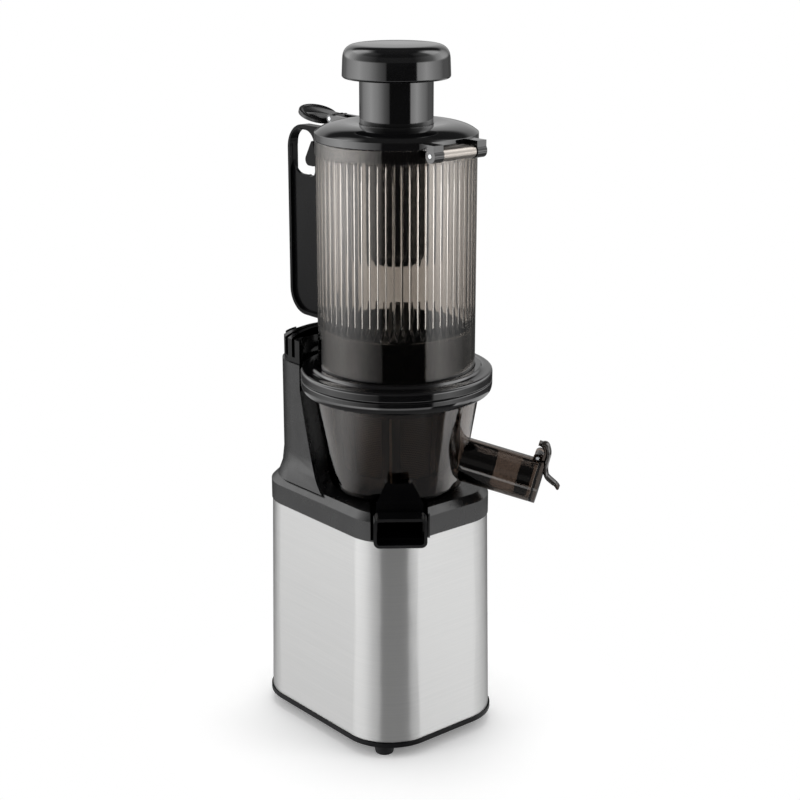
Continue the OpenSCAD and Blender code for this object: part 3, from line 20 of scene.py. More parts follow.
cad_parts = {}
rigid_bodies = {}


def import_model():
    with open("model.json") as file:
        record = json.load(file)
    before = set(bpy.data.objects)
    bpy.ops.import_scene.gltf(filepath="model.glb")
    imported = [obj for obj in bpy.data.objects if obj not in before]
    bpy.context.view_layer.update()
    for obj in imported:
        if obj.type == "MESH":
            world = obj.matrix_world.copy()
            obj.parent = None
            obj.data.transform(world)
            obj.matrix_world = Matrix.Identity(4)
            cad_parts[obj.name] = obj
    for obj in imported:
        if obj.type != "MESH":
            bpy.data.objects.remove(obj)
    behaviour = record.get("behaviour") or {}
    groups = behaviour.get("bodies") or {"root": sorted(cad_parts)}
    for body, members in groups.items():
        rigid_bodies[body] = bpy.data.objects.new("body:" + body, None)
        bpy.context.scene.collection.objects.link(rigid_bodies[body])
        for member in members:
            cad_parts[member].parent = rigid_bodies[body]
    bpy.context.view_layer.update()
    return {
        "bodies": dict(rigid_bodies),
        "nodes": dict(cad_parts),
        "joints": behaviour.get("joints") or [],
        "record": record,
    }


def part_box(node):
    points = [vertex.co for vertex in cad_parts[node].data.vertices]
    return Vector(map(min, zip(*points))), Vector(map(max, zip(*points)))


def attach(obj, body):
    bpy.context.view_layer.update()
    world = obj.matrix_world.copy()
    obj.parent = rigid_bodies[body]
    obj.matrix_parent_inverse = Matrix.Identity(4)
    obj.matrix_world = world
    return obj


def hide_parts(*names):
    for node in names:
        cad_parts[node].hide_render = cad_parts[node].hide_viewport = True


Mesh = bpy.types.Mesh
Piece = bpy.types.Object
Node = bpy.types.Node
Socket = bpy.types.NodeSocket
Tree = bpy.types.NodeTree
Source = Node | Socket | float
Grid = np.ndarray
Span = tuple[float, float]
Triple = tuple[float, float, float]
Corners = Sequence[Triple]
Pairs = Sequence[Span]

LOG = logging.getLogger("juicer")
MM = 0.001
FULL_TURN = 2 * math.pi
WHITE = (1, 1, 1, 1)
CREASE = 34.0


def linear(colour: str) -> tuple[float, float, float, float]:
    """Turns an sRGB hex colour into linear red, green, blue and alpha by the sRGB curve.

    Args:
        colour: six hex digits after a hash sign.

    Returns:
        Linear RGBA with alpha 1.
    """
    parts = np.array([int(colour[i:i + 2], 16) for i in (1, 3, 5)]) / 255.0
    rgb = np.where(parts <= 0.04045, parts / 12.92, ((parts + 0.055) / 1.055) ** 2.4)
    return (*rgb.tolist(), 1.0)


def fresh_tree(owner: bpy.types.ID) -> Tree:
    """Turns on the nodes of a material or world, and returns its tree with nothing in it."""
    owner.use_nodes = True
    owner.node_tree.nodes.clear()
    return owner.node_tree


def fill(tree: Tree, socket: Socket, value: object) -> None:
    """Sets a socket to a value, or links it from another socket or from a node's first output."""
    if isinstance(value, Node):
        value = value.outputs[0]
    if isinstance(value, Socket):
        tree.links.new(value, socket)
    else:
        socket.default_value = value


def add_node(tree: Tree, kind: str, inputs: Mapping | None = None, **settings) -> Node:
    """Adds a shader node, sets its properties and fills its inputs.

    Args:
        tree: node tree that takes the node.
        kind: Blender's type name of the node, less its "ShaderNode".
        inputs: input name or number, with what it is set to or linked from.
        settings: properties of the node.

    Returns:
        The new node.
    """
    node = tree.nodes.new("ShaderNode" + kind)
    for name, value in settings.items():
        setattr(node, name, value)
    for key, value in (inputs or {}).items():
        fill(tree, node.inputs[key], value)
    return node


# --- finishes ---


class Pattern:
    """A material's Principled shader with patterns at real sizes, in millimetres."""

    def __init__(self, name: str) -> None:
        """Starts a material that has only its shader and object coordinates."""
        self.material = bpy.data.materials.new(name)
        self.tree = fresh_tree(self.material)
        self.shader = add_node(self.tree, "BsdfPrincipled")
        add_node(self.tree, "OutputMaterial", {"Surface": self.shader})
        self.place = add_node(self.tree, "TexCoord").outputs["Object"]

    def noise(self, size: float, detail: float = 2.0, stretch: Triple = (1, 1, 1),
              rough: float = 0.5) -> Node:
        """Fractal noise whose features are about size mm, times stretch along each axis."""
        scale = [1 / (size * MM * s) for s in stretch]
        scaled = add_node(self.tree, "Mapping", {"Vector": self.place, "Scale": scale})
        return add_node(self.tree, "TexNoise", {
            "Vector": scaled, "Scale": 1.0, "Detail": detail, "Roughness": rough})

    def vary(self, value: Source, low: float | str, high: float | str, a: float = 0.3,
             b: float = 0.7) -> Socket:
        """Goes from low to high, two numbers or two hex colours, as value goes from a to b."""
        hues = isinstance(low, str)
        ends = (0.0, 1.0) if hues else (low, high)
        share = add_node(self.tree, "MapRange", {
            "Value": value, "From Min": a, "From Max": b, "To Min": ends[0], "To Max": ends[1]})
        if not hues:
            return share.outputs[0]
        return add_node(self.tree, "Mix", {0: share, 6: linear(low), 7: linear(high)},
                        data_type="RGBA").outputs[2]

    def dress(self, colour: tuple | Socket, rough: tuple, relief: tuple | None = None,
              **values) -> None:
        """Fills the shader's inputs and may give it a relief.

        Args:
            colour: colour, or what vary takes to make it.
            rough: what vary takes to make the roughness.
            relief: pattern of the relief and its depth in mm.
            values: the shader's other inputs, with an underscore for each space in a name.
        """
        values["Base_Color"] = self.vary(*colour) if isinstance(colour, tuple) else colour
        values["Roughness"] = self.vary(*rough)
        if relief:
            values["Normal"] = add_node(self.tree, "Bump", {
                "Height": relief[0], "Strength": 1.0, "Distance": relief[1] * MM})
        for key, value in values.items():
            fill(self.tree, self.shader.inputs[key.replace("_", " ")], value)


@dataclass(frozen=True)
class Finish:
    """A finish that is built once and then shared."""

    name: str

    def draw(self, pattern: Pattern) -> None:
        """Draws the finish into an empty material."""
        raise NotImplementedError

    def material(self) -> bpy.types.Material:
        """Returns the material of this finish, made at its first use."""
        known = bpy.data.materials.get(self.name)
        if known:
            return known
        pattern = Pattern(self.name)
        self.draw(pattern)
        return pattern.material


@dataclass(frozen=True)
class Moulded(Finish):
    """Injection moulded plastic: polished or eroded skin, flow mottling and handling marks."""

    colour: str
    mottle: str
    roughness: float
    grain: float = 0.5
    grain_depth: float = 0.004
    smear: float = 0.06
    coat: float = 0.0
    shine: float = 0.5
    flow_size: float = 34.0
    touch_size: float = 9.0

    def draw(self, pattern: Pattern) -> None:
        """Mottled colour, roughness that drifts with handling, and the tool's grain as relief."""
        flow, touch = pattern.noise(self.flow_size, 3.0), pattern.noise(self.touch_size, 4.0)
        pattern.dress((flow, self.colour, self.mottle),
                      (touch, self.roughness - self.smear / 2, self.roughness + self.smear),
                      (pattern.noise(self.grain, 3.0), self.grain_depth), IOR=1.49,
                      Specular_IOR_Level=self.shine, Coat_Weight=self.coat, Coat_Roughness=0.06)


@dataclass(frozen=True)
class BrushedSteel(Finish):
    """Stainless sheet with a fine grain brushed level round the sleeve."""

    colour: str
    streak: str
    roughness: float
    grain: float
    broad: float = 1.1
    broad_share: float = 0.2
    stretch: float = 320.0
    drift: float = 0.03
    depth: float = 0.0015

    def draw(self, pattern: Pattern) -> None:
        """Level streaks at two scales in colour, roughness and relief, upright highlights."""
        tree, long = pattern.tree, self.stretch
        fine = pattern.noise(self.grain, 3.0, (long, long, 1), 0.6)
        broad = pattern.noise(self.broad, 2.0, (long / 2, long / 2, 1))
        fine = add_node(tree, "Math", {0: fine, 1: 1 - self.broad_share}, operation="MULTIPLY")
        streaks = add_node(tree, "Math", {0: broad, 1: self.broad_share, 2: fine},
                           operation="MULTIPLY_ADD")
        pattern.dress((streaks, self.colour, self.streak),
                      (streaks, self.roughness + self.drift, self.roughness - self.drift),
                      (streaks, self.depth), Metallic=1.0, Anisotropic=0.85,
                      Tangent=add_node(tree, "Tangent", direction_type="RADIAL", axis="Z"),
                      Anisotropic_Rotation=0.25)


@dataclass(frozen=True)
class Metal(Finish):
    """Bare machined or cast metal with fine tool marks."""

    colour: str
    shade: str
    roughness: float
    grain: float
    grain_depth: float
    stretch: Triple = (1, 1, 1)

    def draw(self, pattern: Pattern) -> None:
        """Two tones mixed by the tool marks, which also roughen and dent the surface."""
        marks = pattern.noise(self.grain, 4.0, self.stretch, 0.6)
        pattern.dress((marks, self.colour, self.shade),
                      (marks, self.roughness - 0.06, self.roughness + 0.08),
                      (marks, self.grain_depth), Metallic=1.0)


@dataclass(frozen=True)
class Layered(Finish):
    """Stack of thin sheets or turns of wire, seen as level lines."""

    colour: str
    gap_colour: str
    pitch: float
    roughness: float
    metallic: float

    def draw(self, pattern: Pattern) -> None:
        """Level waves one pitch apart darken the gaps between layers and dent the surface."""
        scale = FULL_TURN / (20 * self.pitch * MM)
        waves = add_node(pattern.tree, "TexWave", {
            "Vector": pattern.place, "Scale": scale, "Distortion": 0.4, "Detail": 1.0},
            wave_type="BANDS", bands_direction="Z").outputs["Fac"]
        pattern.dress((waves, self.gap_colour, self.colour, 0.1, 0.6),
                      (pattern.noise(6.0, 3.0), self.roughness, self.roughness + 0.2),
                      (waves, 0.12 * self.pitch), Metallic=self.metallic)


@dataclass(frozen=True)
class PrintedBoard(Finish):
    """Green printed board with tinned pads and copper tracks under the lacquer."""

    name: str = "printed_board"
    pitch: float = 2.5

    def draw(self, pattern: Pattern) -> None:
        """Tracks from a brick pattern, pads from a dot lattice."""
        tree = pattern.tree
        scale = [1 / (self.pitch * MM)] * 3
        sizes = add_node(tree, "Mapping", {"Vector": pattern.place, "Scale": scale})
        tracks = add_node(tree, "TexBrick", {
            "Vector": sizes, "Scale": 1.0, "Mortar Size": 0.06, "Color1": linear("#0d4a24"),
            "Color2": linear("#115a2c"), "Mortar": linear("#2f8a4a")})
        cells = add_node(tree, "TexVoronoi", {"Vector": sizes, "Scale": 0.9})
        pads = add_node(tree, "Math", {0: cells, 1: 0.16}, operation="LESS_THAN")
        colour = add_node(tree, "Mix", {0: pads, 6: tracks, 7: linear("#c9ccd0")},
                          data_type="RGBA").outputs[2]
        pattern.dress(colour, (pattern.noise(3.0), 0.3, 0.45), (pads, 0.05))


@dataclass(frozen=True)
class SoftRubber(Finish):
    """Rubber or silicone with a dull moulded skin; a pale one lets light in."""

    colour: str
    bloom: str
    roughness: float
    glow: float = 0.0

    def draw(self, pattern: Pattern) -> None:
        """Powdery bloom over the colour, fine skin relief, and scattering in a pale grade."""
        bloom = pattern.noise(4.0, 5.0, rough=0.65)
        pattern.dress((bloom, self.colour, self.bloom),
                      (bloom, self.roughness, self.roughness + 0.12),
                      (pattern.noise(0.35, 2.0), 0.02),
                      Subsurface_Weight=self.glow, Subsurface_Radius=(0.004, 0.003, 0.002),
                      Subsurface_Scale=1.0, Sheen_Weight=0.04, Specular_IOR_Level=0.2)


@dataclass(frozen=True)
class Smoked(Finish):
    """Clear copolyester tinted with smoke, whose tint drifts with the flow of the melt."""

    tint: str
    flow: str
    roughness: float

    def draw(self, pattern: Pattern) -> None:
        """Tint that drifts along upright flow lines, and rare fine scratches in the gloss."""
        flow = pattern.noise(16.0, 2.0, (1, 1, 3.5))
        scratch = pattern.noise(0.5, 2.0, (1, 1, 30), 0.6)
        pattern.dress((flow, self.tint, self.flow),
                      (scratch, self.roughness, self.roughness + 0.03, 0.45, 0.75), IOR=1.5,
                      Transmission_Weight=1.0)


@dataclass(frozen=True)
class Perforated(Finish):
    """Thin sheet drilled with small holes in staggered rows round the strainer."""

    colour: str
    hole_colour: str
    pitch: float
    radius: float
    hole: Span = (0.26, 0.32)

    def draw(self, pattern: Pattern) -> None:
        """Cells from angle times radius and from height, odd rows half a cell on, a hole each."""
        tree, (x, y) = pattern.tree, Place.axis_mm
        spot = add_node(tree, "VectorMath", {0: pattern.place, 1: (x * MM, y * MM, 0)},
                        operation="SUBTRACT")
        parts = add_node(tree, "SeparateXYZ", {0: spot}).outputs
        turn = add_node(tree, "Math", {0: parts[1], 1: parts[0]}, operation="ARCTAN2")
        across = add_node(tree, "Math", {0: turn, 1: self.radius / self.pitch},
                          operation="MULTIPLY")
        up = add_node(tree, "Math", {0: parts[2], 1: self.pitch * MM}, operation="DIVIDE")
        row = add_node(tree, "Math", {0: up}, operation="FLOOR")
        across = add_node(tree, "Math", {0: row, 1: 0.5, 2: across}, operation="MULTIPLY_ADD")
        lattice = add_node(tree, "CombineXYZ", {0: across, 1: up})
        cell = add_node(tree, "VectorMath", {0: lattice}, operation="FRACTION")
        away = add_node(tree, "VectorMath", {0: cell, 1: (0.5, 0.5, 0)},
                        operation="DISTANCE").outputs["Value"]
        pattern.dress((away, self.hole_colour, self.colour, *self.hole),
                      (pattern.noise(2.0), 0.32, 0.45),
                      (pattern.vary(away, 0.0, 1.0, *self.hole), 0.2), Metallic=0.6)


class Look(Enum):
    """Every finish on the juicer, by the piece of the real machine that it belongs to."""

    # ABS from a polished tool: deep black whose clear skin shows sharp softboxes.
    GLOSS_BLACK = Moulded("gloss_black_abs", "#070708", "#0b0b0c", 0.08, 0.9, 0.0005, 0.02, 0.35)
    # ABS from an eroded tool: black, soft grey sheen. Grain under 0.1 mm, drawn coarser.
    SHELL_BLACK = Moulded("satin_black_abs", "#0e0e0f", "#131314", 0.24, 0.35, 0.003, 0.05, 0.0,
                          0.42)
    # ABS drawn nearly black, darker than the shell and with its shine turned low: painted
    # shade over the whole handle for its recessed web. Thin lighter edges. Grain drawn coarser.
    HANDLE_BLACK = Moulded("handle_black_abs", "#0a0a0b", "#0f0f10", 0.2, 0.4, 0.002, 0.04, 0.0,
                           0.05)
    # Polished ABS that mirrors other black parts: black, with a thin light line on edges.
    CHUTE_BLACK = Moulded("chute_black_abs", "#060607", "#09090a", 0.12, 0.5, 0.001, 0.03, 0.0, 0.2)
    # Thick smoke-tinted copolyester: dark warm grey that looks solid, soft highlights.
    LEVER_SMOKE = Moulded("tinted_lever", "#23201e", "#2a2724", 0.15, 0.5, 0.001, 0.03, 0.3)
    # ABS from an eroded tool: dull black that hardly mirrors the floor. Grain drawn coarser.
    RIM_BLACK = Moulded("matt_black_abs", "#08080a", "#0c0c0e", 0.42, 0.3, 0.006, 0.06, 0.0, 0.12)
    # Glass-filled nylon: dull charcoal, as fibres reach the skin. Fibres drawn coarser.
    FAN_BLACK = Moulded("fan_nylon", "#151619", "#1c1d21", 0.5, 0.4, 0.006)
    # Amber polyetherimide, drawn brown-black, with a soft, broad sheen.
    AUGER_BLACK = Moulded("auger_ultem", "#0d0b0a", "#141110", 0.34)
    # ABS in warm grey, an even satin: the strip between tube and handle is lighter as a
    # painted reflection of the tube beside it.
    MOUNT_REFLECTION_GREY = Moulded("mount_strip_painted_reflection", "#34322f", "#3b3936", 0.35, 0.4)
    # Natural acetal: waxy ivory with a soft gloss.
    GEAR_NYLON = Moulded("gear_acetal", "#d6d2c2", "#cbc6b4", 0.38, 0.6)
    # Phenolic switch case: brick red, dull and slightly mottled by its filler.
    SWITCH_RED = Moulded("switch_phenolic", "#6e1d15", "#5c1812", 0.45, 0.4, 0.006)
    # ABS button: pale grey satin.
    BUTTON_GREY = Moulded("button_abs", "#c8c7c2", "#bdbcb6", 0.32, 0.4)
    # Pad-printed ink: flat off-white. Its dots stay thin.
    DIAL_MARK = Moulded("dial_ink", "#dcdcda", "#cfcfcc", 0.5, 0.2, 0.002)
    # Brushed stainless sheet: bright grey, upright soft bands. Its 0.02 mm scratches are too
    # fine to show and are drawn at 0.14 mm.
    STEEL_SHEET = BrushedSteel("brushed_stainless", "#b4b4b3", "#a9a9a9", 0.34, 0.14)
    # Zinc-plated steel: cool grey, slightly cloudy.
    SCREW_STEEL = Metal("zinc_plated_screw", "#b9bcc0", "#9da1a6", 0.3, 0.4, 0.01)
    # Steel sleeve seen through a clear barrel: warm light grey with a line of light.
    BARREL_STEEL = Metal("turned_steel", "#a8a29c", "#958f89", 0.32, 0.3, 0.003)
    # Ground steel: bright, with marks that run round it, drawn coarser.
    SHAFT_STEEL = Metal("ground_steel", "#d2d4d6", "#bcbfc3", 0.2, 0.15, 0.002, (8, 8, 1))
    # Hobbed and oiled steel: mid grey, duller between its teeth.
    GEAR_STEEL = Metal("hobbed_steel", "#8f9196", "#75777c", 0.34, 0.3, 0.006)
    # Die-cast aluminium: light grey, frosted, with a faint flow skin.
    CAST_ALLOY = Metal("cast_aluminium", "#a3a5a8", "#8a8c90", 0.5, 0.8, 0.05)
    # Stacked 0.5 mm electrical sheet: level lines, dark where cut edges meet.
    LAMINATION = Layered("laminated_iron", "#7b7d82", "#2a2b2e", 0.5, 0.4, 0.9)
    # Enamelled magnet wire: orange-brown turns with a varnish gloss.
    COPPER_WIRE = Layered("enamelled_copper", "#b4622c", "#55240e", 0.45, 0.3, 0.7)
    # Printed board under green lacquer, with tinned pads.
    BOARD = PrintedBoard()
    # Black rubber: dull, with a faint grey bloom.
    RUBBER = SoftRubber("black_rubber", "#141415", "#1d1d1f", 0.62)
    # Unfilled silicone: milky, lets some light in.
    SILICONE = SoftRubber("milky_silicone", "#cfc9bb", "#c2bcae", 0.42, 0.35)
    # Grey-filled silicone: dark and soft, hardly lets light in.
    DARK_SILICONE = SoftRubber("grey_silicone", "#3a3936", "#2f2e2c", 0.45, 0.1)
    # Lightly smoked copolyester, thin wall: a warm grey veil over what is behind.
    SMOKE_HOPPER = Smoked("smoked_hopper", "#bdb8b2", "#b3aca5", 0.02)
    # The same with more smoke, thicker: brown-grey, nearly black over dark parts.
    SMOKE_BOWL = Smoked("smoked_bowl", "#887d75", "#7e736b", 0.02)
    # Deeply smoked copolyester: dark brown, clear only at thin edges.
    SMOKE_CAP = Smoked("smoked_cap", "#4e4743", "#443e3a", 0.03)
    # Etched strainer sheet: 0.3 mm holes are too fine to show, so rows are 1.4 mm apart.
    SCREEN = Perforated("etched_screen", "#8c877f", "#1a1613", 1.4, 44.0)


# --- where things are ---


class Place:
    """Where the auger's axis stands in the frame, and the turn, slope and height of the spout."""

    axis_mm: Span = (0.0, 0.0)
    spout_turn: float = math.radians(-52)
    spout_slope: float = math.radians(-13.5)
    spout_z: float = 226.0

    @classmethod
    def settle(cls) -> None:
        """Reads the axis from the middle of the round hopper seal."""
        low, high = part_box("hopper_seal")
        cls.axis_mm = ((low.x + high.x) / 2 / MM, (low.y + high.y) / 2 / MM)

    @classmethod
    def to_frame(cls, points: Grid) -> Grid:
        """Moves points (mm from the auger's axis) to metres in the frame."""
        return (points + np.array([*cls.axis_mm, 0.0])) * MM

    @classmethod
    def on_spout(cls, grid: Grid, tip: float) -> Grid:
        """Turns a grid by tip about y, then to the spout's side, and lifts it to its height."""
        turn = Matrix.Rotation(cls.spout_turn, 3, "Z") @ Matrix.Rotation(tip, 3, "Y")
        return placed(grid, (0, 0, cls.spout_z), turn)


# --- surfaces ---


def rounded(corners: Corners, steps: int) -> Grid:
    """Line through corners in which each corner is rounded.

    A corner P with rounding n starts its curve n before P and ends it n after P, and the
    curve between is (1-s)^2 start + 2s(1-s) P + s^2 end, for s from 0 to 1.

    Args:
        corners: first coordinate, second coordinate and rounding of each corner.
        steps: points on each curve.

    Returns:
        Points in order, an array of two columns, with no point twice.
    """
    table = np.asarray(corners, float)
    spot, reach = table[:, :2], table[:, 2:]
    ahead = np.diff(spot, axis=0)
    unit = ahead / np.maximum(np.linalg.norm(ahead, axis=1, keepdims=True), 1e-9)
    start = (spot - np.vstack([unit[:1], unit]) * reach)[:, None]
    end = (spot + np.vstack([unit, unit[-1:]]) * reach)[:, None]
    s = np.linspace(0, 1, steps)[None, :, None]
    curve = (1 - s) ** 2 * start + 2 * s * (1 - s) * spot[:, None] + s ** 2 * end
    line = curve.reshape(-1, 2)
    return line[np.r_[True, np.linalg.norm(np.diff(line, axis=0), axis=1) > 1e-5]]


def turned(section: Corners, curve: int, steps: int) -> Grid:
    """Turns a section round the upright axis: x = r cos a, y = r sin a, for a full turn of a.

    Args:
        section: radius, height and rounding of each corner.
        curve: points on each rounded corner.
        steps: points round the axis.

    Returns:
        Grid of points, rows along the section and columns round the axis.
    """
    profile = rounded(section, curve)
    a = np.linspace(0, FULL_TURN, steps, endpoint=False)[None]
    r, z = profile[:, :1], profile[:, 1:]
    return np.stack([r * np.cos(a), r * np.sin(a), z + 0 * a], -1)


def placed(grid: Grid, spot: Sequence[float], turn: Matrix) -> Grid:
    """Turns a grid by a rotation matrix and moves its origin to a spot: p' = R p + spot."""
    return grid @ np.array(turn).T + np.asarray(spot, float)


def make_mesh(name: str, grid: Grid, ring: bool = False, crease: float = CREASE) -> Mesh:
    """Makes a mesh from one or more grids whose columns go round and whose rows go along.

    A row whose points all meet becomes one vertex. The faces are turned outward by the sign
    of the volume.

    Args:
        name: name of the mesh.
        grid: points in mm from the auger's axis, rows by columns by 3, or several such grids.
        ring: whether the last row joins the first.
        crease: edges that turn by more than this many degrees stay sharp.

    Returns:
        The mesh in the frame's metres.
    """
    grids = grid.reshape(-1, *grid.shape[-3:])
    points = Place.to_frame(grids.reshape(-1, 3))
    index = np.arange(len(points)).reshape(grids.shape[:3])
    meets = np.ptp(grids, axis=2).max(axis=-1) < 1e-6
    index[meets] = index[meets][:, :1]
    a = index if ring else index[:, :-1]
    b = np.roll(index, -1, 1) if ring else index[:, 1:]
    quads = np.stack([a, np.roll(a, -1, 2), np.roll(b, -1, 2), b], -1).reshape(-1, 4)
    low, high = quads[:, 0] == quads[:, 1], quads[:, 2] == quads[:, 3]
    full = quads[~(low | high)]
    tris = np.vstack([quads[low & ~high][:, [0, 2, 3]], quads[high & ~low][:, [0, 1, 2]]])
    fan = np.vstack([full[:, [0, 1, 2]], full[:, [0, 2, 3]], tris])
    p, q, r = (points[fan[:, k]] for k in range(3))
    if np.einsum("ij,ij->i", p, np.cross(q, r)).sum() < 0:
        full, tris = full[:, ::-1], tris[:, ::-1]
    loops = np.concatenate([full.ravel(), tris.ravel()])
    used, loops = np.unique(loops, return_inverse=True)
    starts = np.concatenate([np.arange(len(full)) * 4, len(full) * 4 + np.arange(len(tris)) * 3])
    mesh = bpy.data.meshes.new(name)
    mesh.vertices.add(len(used))
    mesh.vertices.foreach_set("co", points[used].ravel())
    mesh.loops.add(len(loops))
    mesh.loops.foreach_set("vertex_index", loops.ravel().astype(np.int32))
    mesh.polygons.add(len(starts))
    mesh.polygons.foreach_set("loop_start", starts.astype(np.int32))
    mesh.update(calc_edges=True)
    mesh.validate()
    smooth(mesh, crease)
    return mesh


def smooth(mesh: Mesh, crease: float) -> None:
    """Shades the mesh smooth and keeps edges sharper than crease degrees."""
    mesh.polygons.foreach_set("use_smooth", np.ones(len(mesh.polygons), bool))
    mesh.set_sharp_from_angle(angle=math.radians(crease))


class Bench:
    """Makes the pieces, dresses them and hangs them on their bodies."""

    merge: float = 3e-6
    speck: float = 1e-6
    flat: float = math.radians(0.4)

    def __init__(self, frame: dict) -> None:
        """Keeps the frame's nodes, and which body and material slot each has."""
        self.nodes = frame["nodes"]
        record = frame["record"]
        self.body = {node: body for body, nodes in record["behaviour"]["bodies"].items()
                     for node in nodes}
        self.slot = {part["node"]: part["material_slot"] for part in record["subparts"]}

    def piece(self, name: str, mesh: Mesh, look: Look, node: str, replaces: bool = True) -> Piece:
        """Adds a new piece that rides on a node's body, and may replace that node.

        Args:
            name: name of the piece.
            mesh: its mesh in the frame's metres.
            look: its finish.
            node: CAD node whose body it takes.
            replaces: whether it stands for that node.

        Returns:
            The new object.
        """
        obj = bpy.data.objects.new(name, mesh)
        bpy.context.scene.collection.objects.link(obj)
        obj.data.materials.clear()
        obj.data.materials.append(look.value.material())
        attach(obj, self.body[node])
        if replaces:
            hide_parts(node)
        return obj

    def shape(self, name: str, grid: Grid, look: Look, node: str, replaces: bool = True,
              ring: bool = False, crease: float = CREASE) -> None:
        """Makes a grid a piece. make_mesh and piece say what the arguments mean."""
        obj = self.piece(name, make_mesh(name, grid, ring, crease), look, node, replaces)
        obj.modifiers.new("even_shading", "WEIGHTED_NORMAL").keep_sharp = True

    def polish(self, node: str, look: Look, soften: float = 0.0, crease: float = CREASE) -> None:
        """Copies a CAD node, merges its points, shades it smooth and may round its edges.

        Args:
            node: CAD node that the copy replaces.
            look: finish of the copy.
            soften: rounding of the edges in mm, or 0 for none.
            crease: edges that turn by more than this many degrees stay sharp.
        """
        mesh = self.nodes[node].data.copy()
        mesh.name = f"{node}_skin"
        work = bmesh.new()
        work.from_mesh(mesh)
        bmesh.ops.remove_doubles(work, verts=work.verts, dist=self.merge)
        bmesh.ops.dissolve_degenerate(work, edges=work.edges, dist=self.speck)
        if soften:
            bmesh.ops.dissolve_limit(work, angle_limit=self.flat, verts=work.verts,
                                     edges=work.edges)
        work.to_mesh(mesh)
        work.free()
        for layer in ("custom_normal", "sharp_face", "sharp_edge"):
            if layer in mesh.attributes:
                mesh.attributes.remove(mesh.attributes[layer])
        smooth(mesh, crease)
        obj = self.piece(f"{node}_skin", mesh, look, node)
        if soften:
            edges = obj.modifiers.new("soft_edges", "BEVEL")
            edges.width, edges.segments = soften * MM, 2
            edges.limit_method, edges.angle_limit = "ANGLE", math.radians(crease)
            edges.harden_normals = True
        obj.modifiers.new("even_shading", "WEIGHTED_NORMAL").keep_sharp = True

    def polish_all(self, rows: Sequence[tuple]) -> None:
        """Polishes the node of each row. A row holds what polish takes."""
        for row in rows:
            self.polish(*row)


# --- the machine's sub-assemblies ---


@dataclass
class MotorBase:
    """Steel sleeve on its base plate with rubber feet, the top shell, the tower and its cap."""

    sleeve_crease: float = 40.0

    def build(self, bench: Bench) -> None:
        """Dresses the outer pieces of the base."""
        bench.polish_all((
            ("steel_sleeve", Look.STEEL_SHEET, 0.0, self.sleeve_crease),
            ("base_plate", Look.RIM_BLACK, 0.5), ("rubber_feet", Look.RUBBER, 0.4),
            ("foot_screws", Look.SCREW_STEEL), ("top_shell", Look.SHELL_BLACK, 0.6),
            ("tower_shell", Look.SHELL_BLACK, 0.5), ("tower_cap", Look.CHUTE_BLACK, 0.5),
            ("cord_gland", Look.RUBBER, 0.3)))


@dataclass
class Controls:
    """Speed knob on its spindle and switch, the board, and the safety button with its switch."""

    knob: Triple = (61.4, -12.0, 90.5)
    knob_r: float = 13.5
    knob_out: float = 10.6
    pointer_r: float = 1.1
    pointer_half: float = 0.25
    pointer_share: float = 0.55
    dots: int = 9
    dots_reach: float = 120.0
    dot_r: float = 0.8
    dot_half: float = 0.2
    dial_r: float = 17.6
    side: Span = (59.4, 169.9)
    side_flare: float = 3 / 157.3

    def dot(self, r: float, half: float) -> Grid:
        """Flat disc 2 half thick with a rounded edge, whose axis is the frame's x axis."""
        section = ((0, half, 0), (r, half, 0.3 * half), (r, -half, 0), (0, -half, 0))
        return placed(turned(section, 3, 24), (0, 0, 0), Matrix.Rotation(math.pi / 2, 3, "Y"))

    def dial_dots(self) -> Grid:
        """Dots at even turns a round the knob: y = knob + dial_r sin a, z = knob + dial_r cos a.

        They lie on the sleeve's side, x = side x + side_flare (side z - z).
        """
        a = np.radians(np.linspace(-self.dots_reach, self.dots_reach, self.dots))
        y, z = self.knob[1] + self.dial_r * np.sin(a), self.knob[2] + self.dial_r * np.cos(a)
        spots = np.stack([self.side[0] + self.side_flare * (self.side[1] - z), y, z], -1)
        return self.dot(self.dot_r, self.dot_half)[None] + spots[:, None, None]

    def build(self, bench: Bench) -> None:
        """Builds the dial's marks and dresses the controls."""
        bench.shape("dial_dots", self.dial_dots(), Look.DIAL_MARK, "steel_sleeve", replaces=False)
        spot = np.array(self.knob) + (self.knob_out, 0, self.pointer_share * self.knob_r)
        bench.shape("knob_pointer", self.dot(self.pointer_r, self.pointer_half) + spot,
                    Look.DIAL_MARK, "control_knob", replaces=False)
        bench.polish_all((
            ("control_knob", Look.GLOSS_BLACK, 0.3), ("knob_spindle", Look.SHAFT_STEEL),
            ("knob_switch", Look.SWITCH_RED), ("control_board", Look.BOARD),
            ("safety_switch", Look.SWITCH_RED), ("safety_button", Look.BUTTON_GREY, 0.3)))


@dataclass
class Drive:
    """Motor, gearbox and drive shaft inside the base."""

    def build(self, bench: Bench) -> None:
        """Dresses the pieces of the drive."""
        bench.polish_all((
            ("gearbox_case", Look.CAST_ALLOY), ("gearbox_cover", Look.CAST_ALLOY),
            ("case_screws", Look.SCREW_STEEL), ("motor_stator", Look.LAMINATION),
            ("motor_coils", Look.COPPER_WIRE), ("motor_upper_bell", Look.CAST_ALLOY),
            ("motor_lower_bell", Look.CAST_ALLOY), ("motor_tie_screws", Look.SCREW_STEEL),
            ("rotor", Look.LAMINATION), ("cooling_fan", Look.FAN_BLACK),
            ("motor_pinion", Look.GEAR_STEEL), ("stage_gear", Look.GEAR_NYLON),
            ("stage_pin", Look.SHAFT_STEEL), ("output_gear", Look.GEAR_STEEL),
            ("drive_shaft", Look.SHAFT_STEEL), ("drive_bearings", Look.SHAFT_STEEL),
            ("shaft_seal", Look.RUBBER)))


